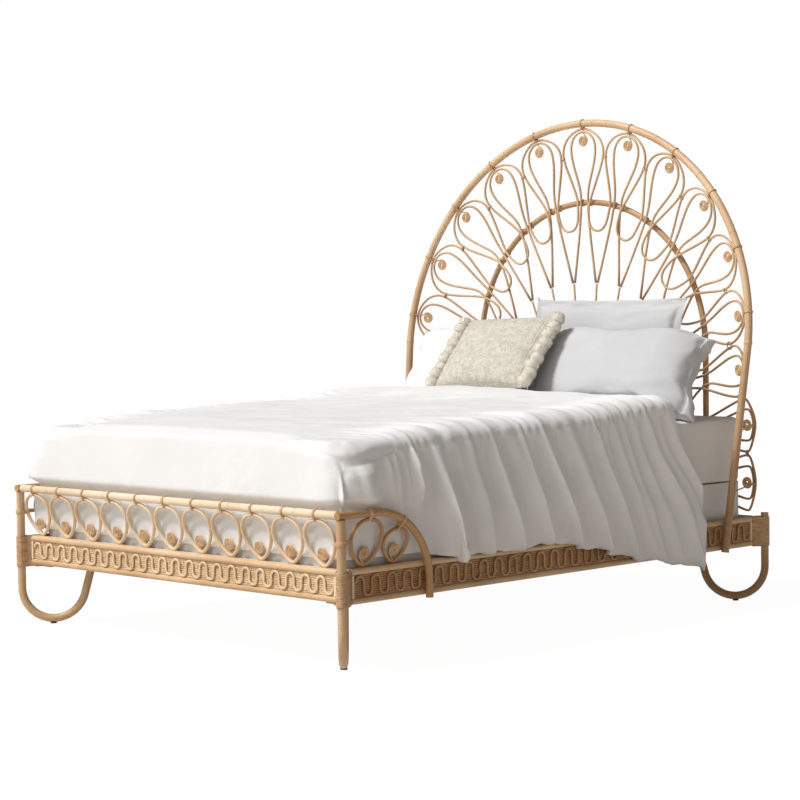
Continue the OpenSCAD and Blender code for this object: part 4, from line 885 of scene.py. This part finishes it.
def foot_wall(columns, rows):
    """The duvet's end, tucked down between the mattress and the footboard."""
    points = np.zeros((rows, len(columns), 3))
    hem = HEM_LINE[0][1]
    for j, x in enumerate(columns):
        top = line_at(TOP_LINE, DUVET_FOOT) - rounding(x)[1]
        inside = ease((TUCKED_X - abs(x)) / 0.03)
        for i in range(rows):
            h = 1 - i / (rows - 1)
            z = hem + (top - hem) * h
            soft = 0.003 + 0.007 * ease((x + 0.1) / 0.6)
            push = max(0.0, soft * (0.5 + folds(x + 0.12 * h, 5, 1 - h)[0]) * (1 - h) ** 0.4)
            push = (push + 0.004 * math.sin(math.pi * h)) * ease((z - OVER_RAIL) / 0.02)
            points[i, j] = (x, DUVET_FOOT - push * inside, z)
    return points


def clear_of_mattress(spot):
    """Pushes a point of the duvet out of the rounded mattress or foundation under it."""
    x, y, z = spot
    low, high, corner = MATTRESS_LOW, MATTRESS_HIGH, MATTRESS_ROUND
    if z < MATTRESS_LOW.z:
        low, high, corner = FOUNDATION_LOW, FOUNDATION_HIGH, FOUNDATION_ROUND
    over_x, over_y = abs(x) - high.x + corner, low.y - y + corner
    reach = math.hypot(max(over_x, 0.0), max(over_y, 0.0))
    out = reach + min(max(over_x, over_y), 0.0) - corner
    if over_x > 0 and over_y > 0:
        way = (over_x / reach, over_y / reach)
    else:
        way = (1.0, 0.0) if over_x > over_y else (0.0, 1.0)
    across, rise = out + TOP_EDGE, z - MATTRESS_HIGH.z + TOP_EDGE
    if rise <= 0:
        push = max(0.0, CLEAR - out) if out > -0.06 else 0.0
    elif across <= 0:
        push = 0.0
        spot[2] = max(z, MATTRESS_HIGH.z + CLEAR)
    else:
        grow = max(1.0, (TOP_EDGE + CLEAR) / math.hypot(across, rise))
        push = across * (grow - 1)
        spot[2] += rise * (grow - 1)
    spot[0] += math.copysign(push * way[0], x)
    spot[1] -= push * way[1]


def round_corner(part):
    """Rounds the duvet's two square foot corners in plan, lets them sag,
    spreads the cloth over the rail and keeps it off the mattress."""
    start_x, start_y = MATTRESS_HIGH.x - CORNER, MATTRESS_LOW.y + CORNER
    for spot in part.reshape(-1, 3):
        x, y, z = spot
        near = ease((abs(x) - 0.45) / 0.3) * ease((-0.72 - y) / 0.28)
        dx, dy = abs(x) - start_x, start_y - y
        if dx > 0 and dy > 0:
            far = 1 + (max(dx, dy) / math.hypot(dx, dy) - 1) * ease((z - 0.45) / 0.04)
            spot[0] = math.copysign(start_x + dx * far, x)
            spot[1] = start_y - dy * far
        spot[2] -= CORNER_SAG * near * ease((z - 0.56) / 0.1)
        fade = max(0.0, 1 - max(0.0, z - RAIL_TOP - 0.01) / 0.2)
        spread = ease((z - OVER_RAIL) / 0.02) * fade
        corner = ease((abs(x) - 0.6) / 0.16) * ease((-0.86 - y) / 0.14)
        side = ease((abs(x) - 0.74) / 0.03) * ease((ARM_END - 0.12 - y) / 0.1)
        end = ease((-0.98 - y) / 0.03)
        spot[0] += math.copysign(spread * (SIDE_SPREAD * side + CORNER_SPREAD * corner), x)
        spot[1] -= spread * END_SPREAD * (end + corner * end)
        clear_of_mattress(spot)
        if spot[2] < OVER_RAIL:
            room = CLEAR - 0.003 * (1 - ease((spot[2] - 0.365) / 0.025))
            spot[1] = max(spot[1], MATTRESS_LOW.y - room)
    return part


def make_duvet():
    """A top, two hanging sides and a tucked foot end, welded and filled."""
    rolls = 6
    rows = 30
    inner = TUCKED_X - EDGE_ROUND
    stations = np.concatenate([[DUVET_FOOT], np.linspace(DUVET_FOOT + 0.012, ROLL_START, 196)])
    columns = np.concatenate([
        -inner - EDGE_ROUND * np.sin(np.linspace(math.pi / 2, 0, 7)[:-1]),
        np.linspace(-inner, inner, 76),
        inner + EDGE_ROUND * np.sin(np.linspace(0, math.pi / 2, 7)[1:]),
    ])
    side_stations = np.concatenate([stations, np.linspace(ROLL_START, DUVET_HEAD, rolls + 1)[1:]])
    top = duvet_top(stations, columns, rolls)
    right, left = side_wall(1, side_stations, rows), side_wall(-1, side_stations, rows)
    foot = foot_wall(columns, rows)
    blend = np.linspace(0, 1, 5)[:, None, None]
    for wall, edge in ((right, top[-1]), (left, top[0])):
        wall[:5] = edge * (1 - blend) + wall[:5] * blend
    foot[0], foot[:, 0], foot[:, -1] = top[:, 0], left[:, 0], right[:, 0]
    piece = grid_mesh("duvet_cloth", [round_corner(part) for part in (top, right, left, foot)])
    solid = piece.modifiers.new("filling", "SOLIDIFY")
    solid.thickness = DUVET_THICKNESS
    solid.offset = -1
    apply_modifiers(piece)
    subdivide_smooth(piece, 1)
    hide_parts("duvet")
    finish_piece(piece, DUVET_LINEN, "mattress_set")


# How far the pillows and the cushion lean, as in the CAD, and sizes of creases, knit and pompoms
PILLOW_LEAN = math.radians(32)
SHAM_LEAN = math.radians(12)
CUSHION_LEAN = math.radians(42)
SEAM_PUCKER = 0.007
CASE_CREASE = 0.0035
FLANGE_WAVE = 0.006
KNIT_ROW = 0.0125
KNIT_STITCH = 0.011
POMPOM_FLUFF = 0.0085
POMPOM_YARNS = 320
YARN_RADIUS = 0.0013


def rest_frame(node, lean):
    """Centre and local axes of a leaning pillow: across, up its face and out of its face."""
    low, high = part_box(node)
    centre = (np.array(low) + np.array(high)) / 2
    s, c = math.sin(lean), math.cos(lean)
    return centre, np.array([[1.0, 0, 0], [0, s, c], [0, -c, s]])


def puff(piece, pressure, slack, frames, cap):
    """Fills a closed cloth shell with air and keeps each point within `cap` of where it was."""
    before = points_of(piece)
    modifier = piece.modifiers.new("cloth", "CLOTH")
    settings = modifier.settings
    settings.quality = 5
    settings.mass = 0.3
    settings.tension_stiffness = 10
    settings.compression_stiffness = 10
    settings.bending_stiffness = 0.15
    settings.use_pressure = True
    settings.uniform_pressure_force = pressure
    settings.shrink_min = -slack
    settings.effector_weights.gravity = 0
    scene = bpy.context.scene
    for step in range(1, frames + 1):
        scene.frame_set(step)
    apply_modifiers(piece)
    scene.frame_set(1)
    after = points_of(piece)
    move = after - before
    length = np.linalg.norm(move, axis=1)
    scale = np.where(length > cap, cap / np.maximum(length, 1e-9), 1)
    set_points(piece, before + move * scale[:, None])


def make_pillow(node, name, lean, material, flange=0.0, droop=0.0, turned=0.0, drawn_in=0.0):
    """A filled case on the body of the same name. Its upper corners droop, its right end may be
    turned back and its left end drawn in. Only a case with a turned end may swell forward: the
    other faces lie against a neighbour."""
    piece = node_copy(node, name)
    subdivide_smooth(piece, 2)
    centre, axes = rest_frame(node, lean)
    local = (points_of(piece) - centre) @ axes.T
    half = np.abs(local).max(0)
    for spot in local:
        along, up = spot[0], spot[1]
        corner = ease((abs(along) - half[0] + 0.15) / 0.15)
        spot[1] -= droop * corner * ease((up - half[1] + 0.14) / 0.14)
        seam = ease((abs(along) - half[0] + 0.13) / 0.13)
        place = Vector((along * 5 + up * 3, up * 15 - along * 4, half[0] * 9))
        crease = 1 - 3 * abs(noise.noise(place))
        bulge = SEAM_PUCKER * seam * wander(up, 31, 15.0) + CASE_CREASE * crease
        spot[2] += bulge if turned and spot[2] > 0 else -math.copysign(abs(bulge), spot[2])
        spot[0] += drawn_in * (ease((0.35 - half[0] - along) / 0.35) - 0.06)
        end = max(0.0, (along - half[0] + 0.17) / 0.17)
        spot[2] -= turned * end * end
        spot[0] += 0.6 * turned * end * ease((-0.02 - up) / 0.12)
    set_points(piece, centre + local @ axes)
    if flange:
        inset = np.minimum(half[0] - np.abs(local[:, 0]), half[1] - np.abs(local[:, 1]))
        flat = 1 - smooth_step((inset - flange) / 0.02)
        wave = FLANGE_WAVE * np.sin(local[:, 0] * 31) * np.cos(local[:, 1] * 27)
        local[:, 2] = local[:, 2] * (1 - 0.86 * flat) + wave * flat
        set_points(piece, centre + local @ axes)
    puff(piece, pressure=2.2, slack=0.045, frames=18, cap=0.016)
    grown = (points_of(piece) - centre) @ axes.T
    held = np.sign(local[:, 2]) * np.minimum(np.abs(grown[:, 2]), np.abs(local[:, 2]) + 0.0005)
    free = (local[:, 2] > 0) & bool(turned)
    grown[:, 2] = np.where(free, grown[:, 2], held)
    set_points(piece, centre + grown @ axes)
    subdivide_smooth(piece, 1)
    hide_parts(node)
    finish_piece(piece, material, node)


def make_cushion():
    """Knitted relief on the cushion's front: rows of loops."""
    piece = node_copy("cushion", "knitted_cushion")
    subdivide_smooth(piece, 3)
    centre, axes = rest_frame("cushion", CUSHION_LEAN)
    points = points_of(piece)
    local = (points - centre) @ axes.T
    normals = np.array([v.normal for v in piece.data.vertices])
    rows = np.sin(local[:, 1] * 2 * math.pi / KNIT_ROW + np.sin(local[:, 0] * 40) * 0.5)
    loops = np.sin(local[:, 0] * 2 * math.pi / KNIT_STITCH + np.sin(local[:, 1] * 300) * 1.5)
    height = 0.0026 * np.abs(rows) ** 0.6 + 0.0022 * loops
    facing = smooth_step((normals @ axes[2]) / 0.3)
    set_points(piece, points + normals * (height * facing)[:, None])
    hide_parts("cushion")
    finish_piece(piece, KNIT, "cushion")


def tuft(rng, centre, radius):
    """Paths of short yarns that stand out of a pompom's core."""
    paths = []
    for k in range(POMPOM_YARNS):
        z = 1 - 2 * (k + 0.5) / POMPOM_YARNS
        turn = k * math.pi * (3 - math.sqrt(5))
        flat = math.sqrt(1 - z * z)
        out = np.array([flat * math.cos(turn), flat * math.sin(turn), z])
        side = np.array([rng.uniform(-1, 1) for _ in range(3)])
        reach = radius * rng.uniform(0.97, 1.04)
        paths.append(np.array([
            centre + out * radius * 0.7,
            centre + out * reach * 0.9 + side * 0.001,
            centre + out * reach + side * 0.0022,
        ]))
    return paths


def make_pompoms():
    """Balls of yarn on the cushion's edge, each a core with a tuft, set a little forward."""
    rng = random.Random(SEED)
    front = rest_frame("cushion", CUSHION_LEAN)[1][2]
    paths, cores = [], []
    for k, part in enumerate(loose_parts("pompoms")):
        centre = (part.min(0) + part.max(0)) / 2 + front * (0.013 + 0.006 * (k % 2))
        radius = (part[:, 0].max() - part[:, 0].min()) / 2 + POMPOM_FLUFF
        paths += tuft(rng, centre, radius)
        bpy.ops.mesh.primitive_ico_sphere_add(subdivisions=4, radius=radius * 0.9, location=centre)
        cores.append(bpy.context.object)
    yarns = cords("pompom_yarns", paths, YARN_RADIUS, 0)
    select_only(yarns, *cores)
    bpy.ops.object.join()
    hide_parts("pompoms")
    finish_piece(yarns, POMPOM_YARN, "cushion")


def make_mattress():
    """Fitted sheet, drawn tight, with short tension folds at the corners, and the foundation's cover."""
    piece = node_copy("mattress", "fitted_sheet")
    subdivide_smooth(piece, 3)
    points = points_of(piece)
    for k, (x, y, z) in enumerate(points):
        corner = math.hypot(abs(x) - MATTRESS_HIGH.x, abs(y) - MATTRESS_HIGH.y)
        near = math.exp(-corner / 0.12)
        ripple = math.sin(26 * math.atan2(z - 0.5, abs(x) + abs(y) - 1.7) + 3)
        push = (0.0035 if y > 0 else 0.0015) * near * ripple
        covered = ease((-0.8 - y) / 0.08)
        push -= 0.004 * covered
        points[k] = (x + math.copysign(push, x), y + 0.004 * covered, z - 0.003 * covered * (z > 0.6))
    set_points(piece, points)
    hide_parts("mattress")
    finish_piece(piece, SHEET_COTTON, "mattress_set")
    base = node_copy("foundation", "foundation_cover")
    round_edges(base, 0.009, 4)
    points = points_of(base)
    points[:, 1] = np.minimum(points[:, 1], FOUNDATION_HIGH.y - 0.0035)
    points[:, 2] = np.maximum(points[:, 2], FOUNDATION_LOW.z + 0.0008)
    set_points(base, points)
    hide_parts("foundation")
    finish_piece(base, BASE_COVER, "mattress_set", smooth=False)
    shade_by_angle(base, 35)


# Camera, floor and light


def make_camera():
    data = bpy.data.cameras.new("camera")
    data.lens = CAMERA_LENS
    data.sensor_width = SENSOR
    camera = bpy.data.objects.new("camera", data)
    bpy.context.collection.objects.link(camera)
    forward = Vector((
        -math.sin(CAMERA_YAW) * math.cos(CAMERA_PITCH),
        math.cos(CAMERA_YAW) * math.cos(CAMERA_PITCH),
        -math.sin(CAMERA_PITCH),
    ))
    level = Vector((math.cos(CAMERA_YAW), math.sin(CAMERA_YAW), 0))
    upright = level.cross(forward)
    right = level * math.cos(CAMERA_ROLL) - upright * math.sin(CAMERA_ROLL)
    up = upright * math.cos(CAMERA_ROLL) + level * math.sin(CAMERA_ROLL)
    turn = Matrix((right, up, -forward)).transposed().to_4x4()
    camera.matrix_world = Matrix.Translation(CAMERA_PLACE) @ turn
    bpy.context.scene.camera = camera


# The white studio: how much of the floor's look is glow, and the tones of floor, world and suns
FLOOR_GLOW = 1.06
GLOW_SHARE = 0.92
FLOOR_TONE = (0.6, 0.545, 0.49, 1)
SKY_TONE = (1.0, 0.965, 0.92, 1)
SKY_STRENGTH = 0.2
SUN_TONE = (1.0, 0.99, 0.975)


def white_in_view(material):
    """Shows the floor to the camera, and in reflections, as white with only part of its shadows."""
    tree = material.node_tree
    path = tree.nodes.new("ShaderNodeLightPath")
    seen = tree.nodes.new("ShaderNodeMath")
    seen.operation = "MAXIMUM"
    tree.links.new(path.outputs["Is Camera Ray"], seen.inputs[0])
    tree.links.new(path.outputs["Is Glossy Ray"], seen.inputs[1])
    part = tree.nodes.new("ShaderNodeMath")
    part.operation = "MULTIPLY"
    part.inputs[1].default_value = GLOW_SHARE
    tree.links.new(seen.outputs[0], part.inputs[0])
    glow = tree.nodes.new("ShaderNodeEmission")
    glow.inputs["Strength"].default_value = FLOOR_GLOW
    mix = tree.nodes.new("ShaderNodeMixShader")
    tree.links.new(part.outputs[0], mix.inputs[0])
    tree.links.new(tree.nodes["Principled BSDF"].outputs[0], mix.inputs[1])
    tree.links.new(glow.outputs[0], mix.inputs[2])
    tree.links.new(mix.outputs[0], tree.nodes["Material Output"].inputs[0])


def make_studio():
    """A white floor and background with soft daylight from the left and a weak light from the front."""
    bpy.ops.mesh.primitive_plane_add(size=60, location=(0, 0, 0))
    floor = bpy.context.object
    floor.name = "floor"
    f = Finish("studio_floor", 0.9, Specular_IOR_Level=0.0)
    f.shader.inputs["Base Color"].default_value = FLOOR_TONE
    white_in_view(f.material)
    floor.data.materials.append(f.material)
    world = bpy.data.worlds.new("studio")
    bpy.context.scene.world = world
    world.use_nodes = True
    tree = world.node_tree
    back = tree.nodes["Background"]
    back.inputs["Color"].default_value = SKY_TONE
    back.inputs["Strength"].default_value = SKY_STRENGTH
    white = tree.nodes.new("ShaderNodeBackground")
    white.inputs["Color"].default_value = (1, 1, 1, 1)
    white.inputs["Strength"].default_value = 1.0
    path = tree.nodes.new("ShaderNodeLightPath")
    mix = tree.nodes.new("ShaderNodeMixShader")
    tree.links.new(path.outputs["Is Camera Ray"], mix.inputs[0])
    tree.links.new(back.outputs[0], mix.inputs[1])
    tree.links.new(white.outputs[0], mix.inputs[2])
    tree.links.new(mix.outputs[0], tree.nodes["World Output"].inputs[0])
    for name, strength, width, travel in (
        ("key", 3.05, 16, (0.57, 0.93, -1.5)),
        ("front_fill", 0.95, 60, (0.02, 1.0, -0.08)),
    ):
        light = bpy.data.objects.new(name, bpy.data.lights.new(name, "SUN"))
        light.data.energy = strength
        light.data.angle = math.radians(width)
        light.data.color = SUN_TONE
        light.rotation_euler = Vector(travel).to_track_quat("-Z", "Y").to_euler()
        bpy.context.collection.objects.link(light)
    bpy.context.scene.view_settings.view_transform = "Standard"


make_camera()
make_studio()
dress_nodes()
make_frame_reeds()
make_pole_joints()
make_mattress()
make_duvet()
make_pillow("front_pillow", "front_pillow_case", PILLOW_LEAN, PILLOW_COTTON, droop=0.03, turned=0.045)
# The left pillow's case takes the pillow cotton with painted light.
make_pillow("left_pillow", "left_pillow_case", PILLOW_LEAN, LIT_PILLOW_COTTON, droop=0.025, drawn_in=0.08)
make_pillow("rear_sham", "rear_sham_cover", SHAM_LEAN, PILLOW_COTTON, flange=0.04)
make_cushion()
make_pompoms()
